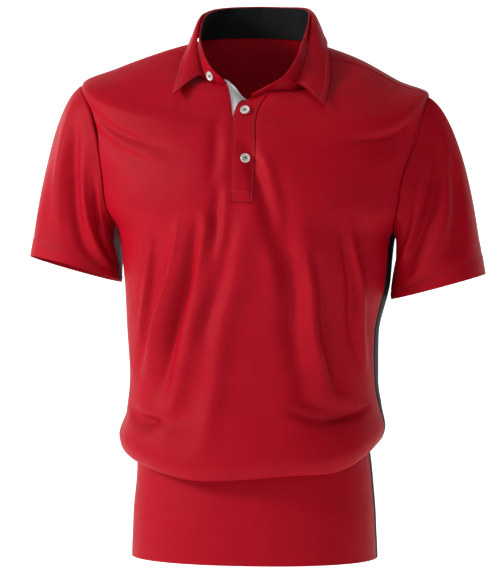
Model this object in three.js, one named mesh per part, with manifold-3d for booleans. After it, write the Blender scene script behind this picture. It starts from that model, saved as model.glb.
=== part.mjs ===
// A short-sleeved polo shirt, in its worn form and empty, in millimetres.
// +Z is up, -Y is the front, +X is the wearer's left. The origin lies between the two high
// shoulder points, where the neck of a wearer would carry the shirt.
//
// The body is a stack of rings. "run" is a ring's place between the hem (0) and the neckline (757),
// and is close to the millimetres of cloth up the side below the armpit. "turn" is the angle round
// the body from the middle of the front, positive to the wearer's left.
// Every piece is a wall: its outer points come from a formula, and its inner points lie one wall
// thickness inside them.
import * as THREE from "three";
import Module from "manifold-3d";
import { mergeVertices } from "three/addons/utils/BufferGeometryUtils.js";

// Walls and gaps.
const CLOTH = 1.2;
const FOLDED_CLOTH = 1.5;
const SEAM_GAP = 0.3;
const HEM_PUFF = 0.5;
const HEM_RAMP = 4;
const SLEEVE_HEM_DEPTH = 22;
const BODY_HEM_DEPTH = 25;

// Named runs up the body.
const ARMPIT_RUN = 490;
const TIP_RUN = 672;
const NECK_RUN = 757;

// The worn shirt leans: its left side sits higher by this share of the distance across.
const LEAN = [
  { z: -640, share: 0 },
  { z: -570, share: 0.04 },
  { z: -460, share: 0 },
  { z: -200, share: -0.04 },
];
// The left shoulder also drops a little just inside its tip.
const SHOULDER_DIP = { x: 202, half: 42, depth: 7, startZ: -190, fullZ: -110 };

// The blouse hangs lower than its rings at two places of the front, by a soft dip between heights.
const BLOUSE_SAGS = [
  { at: "left_front", x: 128, half: 46, depth: 13 },
  { at: "right_front", x: -72, half: 50, depth: 4 },
];
const SAG_HEIGHTS = { topZ: -500, fullZ: -556, lowZ: -600, endZ: -650, frontY: 60 };

// The rings of the body, from the hem to the neckline: heights at the front, side and back,
// half width, depth to the front and to the back, sideways shift, how square the oval is (2 is an
// ellipse), and how much of the front's drop is kept for the very front.
// The tail below run 122 is tucked in, and the cloth above it is bloused over the waist.
const RINGS = [
  { at: "hem", run: 0, frontZ: -706, sideZ: -706, backZ: -706, halfWidth: 167, front: 113, back: 105,
    shift: 0, square: 2.2, drop: 1.5 },
  { at: "tail", run: 60, frontZ: -646, sideZ: -646, backZ: -646, halfWidth: 165, front: 110, back: 103,
    shift: 0, square: 2.2, drop: 1.5 },
  { at: "waist", run: 98, frontZ: -607, sideZ: -600, backZ: -604, halfWidth: 161, front: 106, back: 99,
    shift: 0, square: 2.2, drop: 1.5 },
  { at: "tuck", run: 122, frontZ: -584, sideZ: -560, backZ: -568, halfWidth: 158, front: 103, back: 97,
    shift: -2, square: 2.2, drop: 1.8 },
  { at: "underfold", run: 137, frontZ: -591, sideZ: -557, backZ: -569, halfWidth: 166, front: 114, back: 105,
    shift: -3, square: 2.2, drop: 2.0 },
  { at: "blouse_low", run: 152, frontZ: -592, sideZ: -553, backZ: -564, halfWidth: 175, front: 126, back: 113,
    shift: -3, square: 2.2, drop: 2.0 },
  { at: "blouse", run: 178, frontZ: -571, sideZ: -534, backZ: -544, halfWidth: 181, front: 136, back: 119,
    shift: -3, square: 2.2, drop: 1.9 },
  { at: "blouse_top", run: 222, frontZ: -530, sideZ: -505, backZ: -508, halfWidth: 173, front: 130, back: 112,
    shift: -1, square: 2.2, drop: 1.6 },
  { at: "low_waist", run: 280, frontZ: -472, sideZ: -466, backZ: -466, halfWidth: 169, front: 121, back: 105,
    shift: -1, square: 2.2, drop: 1.5 },
  { at: "mid_waist", run: 350, frontZ: -402, sideZ: -400, backZ: -400, halfWidth: 172, front: 122, back: 104,
    shift: -2, square: 2.2, drop: 1.5 },
  { at: "ribs", run: 420, frontZ: -331, sideZ: -330, backZ: -330, halfWidth: 181, front: 127, back: 110,
    shift: 4, square: 2.2, drop: 1.5 },
  { at: "armpit", run: 480, frontZ: -272, sideZ: -272, backZ: -272, halfWidth: 188, front: 131, back: 117,
    shift: 3, square: 2.2, drop: 1.5 },
  { at: "low_chest", run: 520, frontZ: -238, sideZ: -234, backZ: -232, halfWidth: 213, front: 131, back: 121,
    shift: 1, square: 2.2, drop: 1.5 },
  { at: "chest", run: 560, frontZ: -205, sideZ: -193, backZ: -190, halfWidth: 222, front: 128, back: 124,
    shift: 0, square: 2.2, drop: 1.5 },
  { at: "high_chest", run: 600, frontZ: -177, sideZ: -150, backZ: -150, halfWidth: 229, front: 122, back: 123,
    shift: 0, square: 2.2, drop: 1.5 },
  { at: "blade", run: 640, frontZ: -152, sideZ: -103, backZ: -108, halfWidth: 235, front: 113, back: 117,
    shift: 0, square: 2.25, drop: 1.4 },
  { at: "tip", run: 672, frontZ: -134, sideZ: -68, backZ: -74, halfWidth: 237, front: 105, back: 108,
    shift: 0, square: 2.3, drop: 1.3 },
  { at: "shoulder", run: 702, frontZ: -118, sideZ: -45, backZ: -44, halfWidth: 190, front: 96, back: 98,
    shift: 1, square: 2.35, drop: 1.2 },
  { at: "neck_root", run: 731, frontZ: -105, sideZ: -22, backZ: -17, halfWidth: 134, front: 86, back: 86,
    shift: 3, square: 2.5, drop: 1.05 },
  { at: "neckline", run: 757, frontZ: -98, sideZ: -3, backZ: 7, halfWidth: 80, front: 74, back: 73,
    shift: 3, square: 2.8, drop: 0.8 },
];
const DROP_SOFTNESS = 0.15;
const BACK_RISE_STARTS = 75;

// Where the front panel ends on each ring, as a turn to each side: side seam, then armhole. The
// shirt sits a little twisted, so the two sides differ.
const FRONT_EDGE = [
  { run: 0, right: 84.5, left: 84 },
  { run: 200, right: 84.5, left: 84.5 },
  { run: 262, right: 84.5, left: 81 },
  { run: 330, right: 84.5, left: 77 },
  { run: 490, right: 84.5, left: 77 },
  { run: 502, right: 73, left: 70.5 },
  { run: 520, right: 66, left: 66 },
  { run: 560, right: 62, left: 65 },
  { run: 600, right: 61.5, left: 68.5 },
  { run: 640, right: 64, left: 74 },
  { run: 660, right: 70, left: 79 },
  { run: 672, right: 84, left: 84 },
];
// Where the back panel ends on each ring: side seam, then armhole.
const BACK_EDGE = [
  { run: 0, right: 107, left: 104 },
  { run: 200, right: 107, left: 104 },
  { run: 330, right: 107, left: 100 },
  { run: 490, right: 107, left: 100 },
  { run: 500, right: 110.5, left: 107.5 },
  { run: 525, right: 114, left: 114 },
  { run: 565, right: 114.5, left: 114.5 },
  { run: 605, right: 111, left: 111 },
  { run: 642, right: 104, left: 104 },
  { run: 662, right: 95, left: 95 },
  { run: 672, right: 84, left: 84 },
];
// The turn of the shoulder seam, which lies near the top of the shoulder.
const SHOULDER_SEAM = [
  { run: 672, right: 84, left: 84 },
  { run: 702, right: 88, left: 84 },
  { run: 731, right: 91, left: 84 },
  { run: 757, right: 91, left: 84 },
];

// The front opening, as distances across from the middle of the front.
const PLACKET_WIDTH = 30;
const PLACKET_LAP = 1.5;
const PLACKET_STOP = 2;
const PLACKET_FOOT_RUN = 542;
const PLACKET_BOX_DEPTH = 15;
const OPENING = [
  { run: 0, rightEdge: -12, lapEdge: -12.5 },
  { run: 640, rightEdge: -12.5, lapEdge: -13.5 },
  { run: 684, rightEdge: -14, lapEdge: -15.5 },
  { run: 704, rightEdge: -16, lapEdge: -14.5 },
  { run: 728, rightEdge: -19, lapEdge: -10 },
  { run: 744, rightEdge: -22.5, lapEdge: -4.5 },
  { run: 757, rightEdge: -26.5, lapEdge: 3 },
];
// The under placket runs on past the neckline beside the end of the stand, cut to a slope.
const UNDER_PLACKET_TOP = { insideRun: 767, outsideRun: 758 };
const UNDER_PLACKET_RISE = new THREE.Vector3(-0.42, -0.3, 0.86);
const UNDER_PLACKET_TUCK = { in: 2.4, span: 13 };
// The open neck stands up at the front: its height above the neckline ring, by turn.
const NECK_LIFT = [
  { turn: -85, lift: 0 },
  { turn: -60, lift: 7 },
  { turn: -40, lift: 15 },
  { turn: -25, lift: 20 },
  { turn: -13, lift: 21.5 },
  { turn: -7, lift: 17 },
  { turn: 0, lift: 4 },
  { turn: 3, lift: 7 },
  { turn: 13, lift: 15 },
  { turn: 23, lift: 13 },
  { turn: 35, lift: 8 },
  { turn: 65, lift: 0 },
];
const NECK_LIFT_SPAN = 62;

// The collar, by turn round the neckline: the top of the stand, the share of the stand's height
// at which the leaf is sewn to it, and the leaf's outer edge. x is measured out from the middle,
// to either side.
const STAND_TOP = [
  { turn: 1, rightX: 22, rightY: -86, rightZ: -74, leftX: 7, leftY: -80, leftZ: -88.7 },
  { turn: 13, rightX: 33.4, rightY: -84, rightZ: -67.7, leftX: 32, leftY: -82, leftZ: -75.4 },
  { turn: 20.5, rightX: 39, rightY: -82, rightZ: -63.6, leftX: 41, leftY: -80, leftZ: -69.9 },
  { turn: 32, rightX: 48, rightY: -76, rightZ: -53.9, leftX: 53, leftY: -78, leftZ: -59.9 },
  { turn: 44, rightX: 56, rightY: -66, rightZ: -42.2, leftX: 60, leftY: -70, leftZ: -47.6 },
  { turn: 56, rightX: 63.5, rightY: -52, rightZ: -27.5, leftX: 66, leftY: -58, leftZ: -33.4 },
  { turn: 66, rightX: 68, rightY: -40, rightZ: -16.7, leftX: 69, leftY: -43, leftZ: -17.3 },
  { turn: 76, rightX: 71.5, rightY: -28, rightZ: -5, leftX: 73, leftY: -28, leftZ: -0.6 },
  { turn: 88, rightX: 72.5, rightY: -10, rightZ: 12, leftX: 75.5, leftY: -10, leftZ: 17.4 },
  { turn: 102, rightX: 70, rightY: 12, rightZ: 28, leftX: 75, leftY: 12, leftZ: 32.9 },
  { turn: 122, rightX: 62, rightY: 37, rightZ: 38, leftX: 67, leftY: 37, leftZ: 42.5 },
  { turn: 150, rightX: 39, rightY: 58, rightZ: 45.4, leftX: 43, leftY: 58, leftZ: 47.2 },
  { turn: 180, rightX: -2, rightY: 66, rightZ: 48, leftX: 2, leftY: 66, leftZ: 48 },
];
const LEAF_ROOT = [
  { turn: 39, right: 0.12, left: 0.25 },
  { turn: 44, right: 0.2, left: 0.3 },
  { turn: 56, right: 0.5, left: 0.49 },
  { turn: 66, right: 0.67, left: 0.62 },
  { turn: 76, right: 0.8, left: 0.74 },
  { turn: 90, right: 0.93, left: 0.9 },
  { turn: 108, right: 1, left: 1 },
  { turn: 180, right: 1, left: 1 },
];
// Between these turns the leaf moves from beside the stand's outer face to the top of its edge.
const LEAF_SLIDE = { from: 112, span: 22 };
const LEAF_EDGE = [
  { turn: 40, rightX: 96, rightY: -96, rightZ: -92.5, leftX: 104, leftY: -90, leftZ: -99 },
  { turn: 44, rightX: 96, rightY: -94, rightZ: -92, leftX: 104, leftY: -88, leftZ: -98 },
  { turn: 56, rightX: 97, rightY: -68, rightZ: -73, leftX: 108, leftY: -60, leftZ: -69 },
  { turn: 66, rightX: 94, rightY: -45, rightZ: -46, leftX: 107, leftY: -42, leftZ: -44 },
  { turn: 78, rightX: 89, rightY: -20, rightZ: -20, leftX: 102, leftY: -20, leftZ: -18 },
  { turn: 95, rightX: 86, rightY: 6, rightZ: -4, leftX: 99, leftY: 6, leftZ: -5 },
  { turn: 122, rightX: 76, rightY: 50, rightZ: 0, leftX: 84, leftY: 50, leftZ: 0 },
  { turn: 150, rightX: 47, rightY: 76, rightZ: 4, leftX: 53, leftY: 76, leftZ: 4 },
  { turn: 180, rightX: -3, rightY: 86, rightZ: 5, leftX: 3, leftY: 86, leftZ: 5 },
];
const LEAF_CELLS = { from: 6, to: 49 };
const LEAF_ROLL_OUT = 6;
const LEAF_ROLL_UP = 9;
const COLLAR_WALL = 1.6;
const NECK_GAP = 0.6;
const FACING_CELLS = { from: 12, to: 44 };
const FACING_WALL = 1;

// The sleeves end in an oval cuff, given by its outer and inner ends and its depth.
const CUFF = { outerX: 312, outerZ: -310.5, innerX: 186, innerZ: -344, halfDepth: 58, y: 4 };
const CUFF_RISE_RIGHT = 10.5;
const CUFF_RISE_LEFT = -14;
const CUFF_TILT_RIGHT = -0.1;
const CUFF_TILT_LEFT = 0.05;
const SLEEVE_TOP = new THREE.Vector3(0.88, 0, -0.47);
const SLEEVE_BOTTOM = new THREE.Vector3(0.45, 0, -0.89);
const ARM_LINE = new THREE.Vector3(0.16, -0.03, -0.98);
const SLEEVE_START_PULL = 0.6;
const SLEEVE_END_PULL = 1;

// The largest folds of the body: a bent line by turn and run, its half width, and how far it
// stands out (a ridge) or sinks in (a trough). FOLD_ARC is the cloth in one degree of turn.
const FOLD_ARC = 2.7;
const FOLD_STEPS = 12;
const FOLD_END_FADE = { inset: 0.08, power: 0.6 };
const BODY_FADE = { lowStart: 130, lowSpan: 50, highStart: 690, highSpan: 40 };
const SLEEVE_FADE = { lowStart: 0.04, lowSpan: 0.2, highStart: 0.78, highSpan: 0.14 };
const BODY_FOLDS = [
  { at: "beside_placket_trough", t0: -3, r0: 516, t1: -9, r1: 425, t2: -15, r2: 345, half: 11, height: -8 },
  { at: "beside_placket_ridge", t0: 1, r0: 505, t1: -6, r1: 352, t2: -14, r2: 205, half: 13, height: 7 },
  { at: "second_ridge", t0: -9, r0: 480, t1: -19, r1: 350, t2: -34, r2: 225, half: 13, height: 8 },
  { at: "second_trough", t0: -14, r0: 470, t1: -25, r1: 362, t2: -41, r2: 260, half: 13, height: -7 },
  { at: "third_ridge", t0: -20, r0: 490, t1: -34, r1: 375, t2: -50, r2: 290, half: 13, height: 7 },
  { at: "side_trough", t0: -38, r0: 480, t1: -44, r1: 390, t2: -57, r2: 300, half: 12, height: -6 },
  { at: "hip_crease", t0: -66, r0: 232, t1: -52, r1: 214, t2: -36, r2: 230, half: 10, height: -8 },
  { at: "button_ridge", t0: 5, r0: 560, t1: 9, r1: 465, t2: 15, r2: 370, half: 12, height: 5 },
  { at: "button_trough", t0: 8, r0: 572, t1: 14, r1: 452, t2: 27, r2: 262, half: 13, height: -10 },
  { at: "wide_ridge", t0: 21, r0: 490, t1: 28, r1: 360, t2: 40, r2: 250, half: 18, height: 5 },
  { at: "far_trough", t0: 31, r0: 440, t1: 38, r1: 352, t2: 47, r2: 262, half: 13, height: -6 },
  { at: "hem_hollow", t0: 28, r0: 258, t1: 43, r1: 228, t2: 60, r2: 236, half: 13, height: -8 },
  { at: "far_side_ridge", t0: 46, r0: 478, t1: 53, r1: 380, t2: 66, r2: 300, half: 12, height: 8 },
  { at: "chest_pull_right", t0: -70, r0: 640, t1: -52, r1: 610, t2: -30, r2: 590, half: 16, height: -4 },
  { at: "chest_pull_left", t0: 70, r0: 640, t1: 50, r1: 622, t2: 26, r2: 620, half: 16, height: -4 },
  { at: "back_middle_trough", t0: 178, r0: 520, t1: 176, r1: 400, t2: 172, r2: 262, half: 17, height: -8 },
  { at: "back_right_ridge", t0: -162, r0: 500, t1: -158, r1: 380, t2: -150, r2: 225, half: 15, height: 7 },
  { at: "back_right_trough", t0: -148, r0: 510, t1: -144, r1: 400, t2: -134, r2: 270, half: 14, height: -7 },
  { at: "back_left_ridge", t0: 160, r0: 510, t1: 155, r1: 380, t2: 150, r2: 215, half: 15, height: 7 },
  { at: "back_left_trough", t0: 144, r0: 480, t1: 141, r1: 380, t2: 130, r2: 255, half: 14, height: -7 },
  { at: "back_hip_right", t0: -140, r0: 236, t1: -128, r1: 222, t2: -114, r2: 240, half: 12, height: -7 },
  { at: "back_hip_left", t0: 162, r0: 228, t1: 140, r1: 218, t2: 118, r2: 236, half: 12, height: -7 },
  { at: "blade_pull_right", t0: -122, r0: 600, t1: -140, r1: 560, t2: -158, r2: 540, half: 17, height: -5 },
  { at: "blade_pull_left", t0: 122, r0: 590, t1: 138, r1: 560, t2: 156, r2: 548, half: 17, height: -5 },
];
// The largest folds of each sleeve, across its share of the armhole loop and along its length.
const SLEEVE_ARC = 420;
const SLEEVE_LENGTH = 190;
const SLEEVE_FOLDS_RIGHT = [
  { at: "cap_ridge", t0: 0.05, r0: 0.18, t1: 0.13, r1: 0.5, t2: 0.2, r2: 0.78, half: 11, height: 5 },
  { at: "cap_trough", t0: 0.1, r0: 0.16, t1: 0.21, r1: 0.46, t2: 0.33, r2: 0.86, half: 12, height: -8 },
  { at: "inner_ridge", t0: 0.2, r0: 0.24, t1: 0.29, r1: 0.5, t2: 0.4, r2: 0.84, half: 11, height: 6 },
  { at: "inner_trough", t0: 0.27, r0: 0.14, t1: 0.35, r1: 0.4, t2: 0.44, r2: 0.76, half: 11, height: -7 },
  { at: "back_trough", t0: 0.88, r0: 0.18, t1: 0.8, r1: 0.45, t2: 0.69, r2: 0.84, half: 13, height: -7 },
  { at: "back_ridge", t0: 0.81, r0: 0.2, t1: 0.72, r1: 0.46, t2: 0.62, r2: 0.8, half: 11, height: 6 },
];
const SLEEVE_FOLDS_LEFT = [
  { at: "cap_trough", t0: 0.08, r0: 0.2, t1: 0.19, r1: 0.42, t2: 0.33, r2: 0.66, half: 12, height: -9 },
  { at: "cap_ridge", t0: 0.15, r0: 0.18, t1: 0.25, r1: 0.36, t2: 0.38, r2: 0.56, half: 11, height: 5 },
  { at: "mid_ridge", t0: 0.13, r0: 0.5, t1: 0.22, r1: 0.7, t2: 0.34, r2: 0.86, half: 11, height: 6 },
  { at: "outer_trough", t0: 0.06, r0: 0.36, t1: 0.1, r1: 0.6, t2: 0.2, r2: 0.88, half: 12, height: -6 },
  { at: "back_trough", t0: 0.9, r0: 0.2, t1: 0.8, r1: 0.5, t2: 0.68, r2: 0.82, half: 13, height: -8 },
  { at: "back_ridge", t0: 0.83, r0: 0.22, t1: 0.72, r1: 0.5, t2: 0.62, r2: 0.76, half: 11, height: 6 },
];

// Buttons.
const BUTTON = { radius: 6.4, thick: 2.6, dish: 0.8, rim: 1.5, bevel: 0.5, holeRadius: 0.85, holePitch: 2.6 };
const BUTTON_SIDES = 20;
const HOLE_SIDES = 8;
const BUTTONS = [
  { name: "button_low", x: 4, run: 603 },
  { name: "button_middle", x: 0.6, run: 714 },
];
// The stand curves under the collar button, which stands a little further off it.
const COLLAR_BUTTON = { turn: -33, share: 0.42, level: 0.5 };

// Mesh fineness: cells across and up each piece.
const FRONT_CELLS_RIGHT = 18;
const FRONT_CELLS_LEFT = 17;
const OPENING_CELLS = 4;
const BACK_CELLS = 24;
const SIDE_CELLS = 3;
const COLLAR_CELLS = 54;
const STAND_ROWS = 3;
const LEAF_ROWS = 5;
const SLEEVE_ALONG = [0.002, 0.06, 0.13, 0.2, 0.28, 0.36, 0.44, 0.52, 0.61, 0.7, 0.79, 0.87, 0.91, 1];
const BODY_RUNS = [
  0, 25, 62, 100, 122, 132, 142, 152, 166, 182, 200, 220, 242, 268, 296, 326, 356, 386, 416, 444, 468, 490,
  502, 516, 527, 542, 560, 580, 604, 630, 650, 663, 672, 692, 708, 720, 732, 744, 757,
];

const RED = { color: 0xa8142a, roughness: 0.62, metalness: 0 };
const BLACK = { color: 0x17181a, roughness: 0.7, metalness: 0 };
const GREY = { color: 0xc9c9cb, roughness: 0.65, metalness: 0 };
const SHELL = { color: 0xc6c0bd, roughness: 0.35, metalness: 0 };

const radians = THREE.MathUtils.degToRad;
const clamp = THREE.MathUtils.clamp;
const smooth = (t) => THREE.MathUtils.smoothstep(t, 0, 1);
const vector = (x, y, z) => new THREE.Vector3(x, y, z);

// A smooth curve through one column of a table that never overshoots its rows.
function through(rows, across, column) {
  const x = rows.map((row) => row[across]);
  const y = rows.map((row) => row[column]);
  const rise = x.slice(1).map((next, i) => (y[i + 1] - y[i]) / (next - x[i]));
  const slope = x.map((_, i) => {
    if (i === 0) return rise[0];
    if (i === rise.length) return rise[i - 1];
    return rise[i - 1] * rise[i] <= 0 ? 0 : (2 * rise[i - 1] * rise[i]) / (rise[i - 1] + rise[i]);
  });
  return (value) => {
    const at = clamp(value, x[0], x[x.length - 1]);
    let i = 0;
    while (i < rise.length - 1 && at > x[i + 1]) i += 1;
    const span = x[i + 1] - x[i];
    const t = (at - x[i]) / span;
    const t2 = t * t;
    const t3 = t2 * t;
    return (
      (2 * t3 - 3 * t2 + 1) * y[i] +
      (t3 - 2 * t2 + t) * span * slope[i] +
      (3 * t2 - 2 * t3) * y[i + 1] +
      (t3 - t2) * span * slope[i + 1]
    );
  };
}

const ring = Object.fromEntries(
  ["frontZ", "sideZ", "backZ", "halfWidth", "front", "back", "shift", "square", "drop"].map((column) => [
    column,
    through(RINGS, "run", column),
  ]),
);
const bothSides = (rows, across) => ({
  right: through(rows, across, "right"),
  left: through(rows, across, "left"),
});
const frontSide = bothSides(FRONT_EDGE, "run");
const backSide = bothSides(BACK_EDGE, "run");
const shoulder = bothSides(SHOULDER_SEAM, "run");
const sideName = (side) => (side < 0 ? "right" : "left");
const frontEdge = (run, side) => (run < TIP_RUN ? frontSide : shoulder)[sideName(side)](run);
const backEdge = (run, side) => (run < TIP_RUN ? backSide : shoulder)[sideName(side)](run);
const rightEdgeX = through(OPENING, "run", "rightEdge");
const lapEdgeX = through(OPENING, "run", "lapEdge");

const leanShare = through(LEAN, "z", "share");
const neckLift = through(NECK_LIFT, "turn", "lift");
const bell = (distance, half) => Math.exp(-Math.pow(distance / half, 2));

// The lean of the worn shirt, for any point of it.
function lean(point) {
  const dip = SHOULDER_DIP;
  const high = smooth((point.z - dip.startZ) / (dip.fullZ - dip.startZ));
  const near = bell(point.x - dip.x, dip.half);
  point.z += leanShare(point.z) * point.x - dip.depth * high * near;
  return point;
}

// How far the blouse sags at a point: only at its front, and only over its own height.
function sag(point) {
  const { topZ, fullZ, lowZ, endZ, frontY } = SAG_HEIGHTS;
  const reach = smooth((topZ - point.z) / (topZ - fullZ)) * (1 - smooth((lowZ - point.z) / (lowZ - endZ)));
  const front = smooth(-point.y / frontY);
  const deep = BLOUSE_SAGS.reduce((sum, row) => sum + row.depth * bell(point.x - row.x, row.half), 0);
  return deep * reach * front;
}

// A point of the body with no folds: a squared oval ring that is lower at the front.
function ringPoint(turn, run) {
  const angle = Math.abs(turn);
  const sine = Math.max(Math.sin(radians(angle)), 0);
  const cosine = Math.cos(radians(angle));
  const power = 2 / ring.square(run);
  const forward = Math.sign(cosine) * Math.pow(Math.abs(cosine), power);
  const depth = forward > 0 ? ring.front(run) : ring.back(run);
  const side = ring.sideZ(run);
  const softStep = (forward + Math.hypot(forward, DROP_SOFTNESS)) / (1 + Math.hypot(1, DROP_SOFTNESS));
  const drop = Math.pow(softStep, ring.drop(run));
  const rise = smooth((angle - BACK_RISE_STARTS) / (180 - BACK_RISE_STARTS));
  const lift = neckLift(turn) * smooth((run - NECK_RUN) / NECK_LIFT_SPAN + 1);
  const point = vector(
    ring.shift(run) + Math.sign(turn) * ring.halfWidth(run) * Math.pow(sine, power),
    -depth * forward,
    side + (ring.frontZ(run) - side) * drop + (ring.backZ(run) - side) * rise + lift,
  );
  point.z -= sag(point);
  return lean(point);
}

// The lift of a set of folds at a place: each is a soft ridge along a bent line, fading at its ends.
function foldLift(folds, t, r, arc, length) {
  let lift = 0;
  for (const fold of folds) {
    let nearest = Infinity;
    let along = 0;
    for (let i = 0; i <= FOLD_STEPS; i += 1) {
      const s = i / FOLD_STEPS;
      const a = (1 - s) * (1 - s);
      const b = 2 * s * (1 - s);
      const c = s * s;
      const dt = (a * fold.t0 + b * fold.t1 + c * fold.t2 - t) * arc;
      const dr = (a * fold.r0 + b * fold.r1 + c * fold.r2 - r) * length;
      const distance = Math.hypot(dt, dr);
      if (distance < nearest) {
        nearest = distance;
        along = s;
      }
    }
    const profile = bell(nearest, fold.half);
    const inset = FOLD_END_FADE.inset + (1 - 2 * FOLD_END_FADE.inset) * along;
    lift += fold.height * profile * Math.pow(Math.sin(Math.PI * inset), FOLD_END_FADE.power);
  }
  return lift;
}

// How much of the folds shows: none in the tucked tail, at the neckline or in a sleeve's ends.
const rampUp = (value, from, span) => smooth((value - from) / span);
const foldShare = (run) =>
  rampUp(run, BODY_FADE.lowStart, BODY_FADE.lowSpan) *
  (1 - rampUp(run, BODY_FADE.highStart, BODY_FADE.highSpan));
const sleeveShare = (along) =>
  rampUp(along, SLEEVE_FADE.lowStart, SLEEVE_FADE.lowSpan) *
  (1 - rampUp(along, SLEEVE_FADE.highStart, SLEEVE_FADE.highSpan));

// Half the spans over which a surface's direction is taken: for the body in degrees and
// millimetres, for a sleeve and the collar in shares.
const BODY_STEP = { u: 0.4, v: 1.5 };
const SLEEVE_STEP = { u: 0.004, v: 0.012 };
const COLLAR_STEP = { u: 1, v: 0.05 };

// The outward direction of a surface, from two neighbouring points each way.
function outward(surface, u, v, step) {
  const across = surface(u + step.u, v).sub(surface(u - step.u, v));
  const up = surface(u, v + step.v).sub(surface(u, v - step.v));
  return across.cross(up).normalize();
}

// A point of the body's cloth, moved out by "lift" from the folded surface.
function bodyPoint(turn, run, lift = 0) {
  const total = foldLift(BODY_FOLDS, turn, run, FOLD_ARC, 1) * foldShare(run) + lift;
  const point = ringPoint(turn, run);
  if (total === 0) return point;
  const inside = clamp(run, BODY_STEP.v, NECK_RUN - BODY_STEP.v);
  return point.addScaledVector(outward(ringPoint, turn, inside, BODY_STEP), total);
}

// The turn at which a ring is this far across.
function turnAt(x, run) {
  const across = x - ring.shift(run);
  const share = Math.min(1, Math.abs(across) / ring.halfWidth(run));
  const turn = Math.asin(Math.pow(share, ring.square(run) / 2));
  return Math.sign(across) * THREE.MathUtils.radToDeg(turn);
}

// A closed wall from a grid of outer points. "present" says which cells have cloth, and "closed"
// joins the last column to the first.
function wall({ columns, rows, outer, inner, present = () => true, closed = false }) {
  const width = closed ? columns : columns + 1;
  const positions = [];
  for (const side of [outer, inner])
    for (let r = 0; r <= rows; r += 1)
      for (let c = 0; c < width; c += 1) positions.push(side(c, r));
  const layer = width * (rows + 1);
  const id = (c, r, side) => side * layer + r * width + (closed ? c % columns : c);
  const triangles = [];
  const quad = (a, b, c, d) => triangles.push(a, b, c, a, c, d);
  const has = (c, r) => {
    if (r < 0 || r >= rows) return false;
    if (closed) return present((c + columns) % columns, r);
    return c >= 0 && c < columns && present(c, r);
  };
  for (let r = 0; r < rows; r += 1)
    for (let c = 0; c < columns; c += 1) {
      if (!has(c, r)) continue;
      quad(id(c, r, 0), id(c + 1, r, 0), id(c + 1, r + 1, 0), id(c, r + 1, 0));
      quad(id(c, r, 1), id(c, r + 1, 1), id(c + 1, r + 1, 1), id(c + 1, r, 1));
      if (!has(c, r - 1)) quad(id(c, r, 1), id(c + 1, r, 1), id(c + 1, r, 0), id(c, r, 0));
      if (!has(c, r + 1)) quad(id(c, r + 1, 0), id(c + 1, r + 1, 0), id(c + 1, r + 1, 1), id(c, r + 1, 1));
      if (!has(c - 1, r)) quad(id(c, r, 0), id(c, r + 1, 0), id(c, r + 1, 1), id(c, r, 1));
      if (!has(c + 1, r)) quad(id(c + 1, r, 1), id(c + 1, r + 1, 1), id(c + 1, r + 1, 0), id(c + 1, r, 0));
    }
  const geometry = new THREE.BufferGeometry();
  geometry.setAttribute(
    "position",
    new THREE.Float32BufferAttribute(positions.flatMap((p) => p.toArray()), 3),
  );
  geometry.setIndex(triangles);
  return geometry;
}

// A wall whose inner points lie "thick" inside a surface of two parameters.
function sheet({ columns, rows, place, surface, thick, step = BODY_STEP, present, closed }) {
  const point = (c, r, depth) => {
    const [u, v] = place(c, r);
    const at = surface(u, v);
    return depth ? at.addScaledVector(outward(surface, u, v, step), -depth) : at;
  };
  return wall({
    columns,
    rows,
    outer: (c, r) => point(c, r, 0),
    inner: (c, r) => point(c, r, thick),
    present,
    closed,
  });
}

const group = new THREE.Group();
function add(name, geometry, look) {
  const mesh = new THREE.Mesh(geometry, new THREE.MeshStandardMaterial(look));
  mesh.name = name;
  group.add(mesh);
}

// The gap between panels, in degrees of turn on each side of a seam.
const SEAM_TURN = 0.09;
const hemLift = (run) => HEM_PUFF * (1 - rampUp(run, BODY_HEM_DEPTH, HEM_RAMP));
const cloth = (turn, run) => bodyPoint(turn, run, hemLift(run));
const bodySheet = (columns, runs, turnOf, present) =>
  sheet({
    columns,
    rows: runs.length - 1,
    place: (c, r) => [turnOf(c, runs[r]), runs[r]],
    surface: cloth,
    thick: CLOTH,
    present,
  });

// Front: two halves, joined below the foot of the opening.
const leftStart = FRONT_CELLS_RIGHT + OPENING_CELLS;
function frontTurn(c, run) {
  const rightSeam = SEAM_TURN - frontEdge(run, -1);
  const leftSeam = frontEdge(run, 1) - SEAM_TURN;
  const right = rightEdgeX(run);
  const left = lapEdgeX(run) + PLACKET_WIDTH - PLACKET_LAP;
  if (c < FRONT_CELLS_RIGHT) {
    return THREE.MathUtils.lerp(rightSeam, turnAt(right, run), c / FRONT_CELLS_RIGHT);
  }
  if (c > leftStart) {
    return THREE.MathUtils.lerp(turnAt(left, run), leftSeam, (c - leftStart) / FRONT_CELLS_LEFT);
  }
  return turnAt(THREE.MathUtils.lerp(right, left, (c - FRONT_CELLS_RIGHT) / OPENING_CELLS), run);
}
const frontCells = leftStart + FRONT_CELLS_LEFT;
const inOpening = (c, r) =>
  c >= FRONT_CELLS_RIGHT && c < leftStart && BODY_RUNS[r] >= PLACKET_FOOT_RUN;
add("front", bodySheet(frontCells, BODY_RUNS, frontTurn, (c, r) => !inOpening(c, r)), RED);

// Back, from one side over the shoulders to the forward shoulder seams.
function backTurn(c, run) {
  const from = backEdge(run, 1) + SEAM_TURN;
  const to = 360 - backEdge(run, -1) - SEAM_TURN;
  return THREE.MathUtils.lerp(from, to, c / BACK_CELLS);
}
const wrap = (turn) => (turn > 180 ? turn - 360 : turn);
const backSurface = (turn, run) => cloth(wrap(turn), run);
add(
  "back",
  sheet({
    columns: BACK_CELLS,
    rows: BODY_RUNS.length - 1,
    place: (c, r) => [backTurn(c, BODY_RUNS[r]), BODY_RUNS[r]],
    surface: backSurface,
    thick: CLOTH,
  }),
  RED,
);

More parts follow.
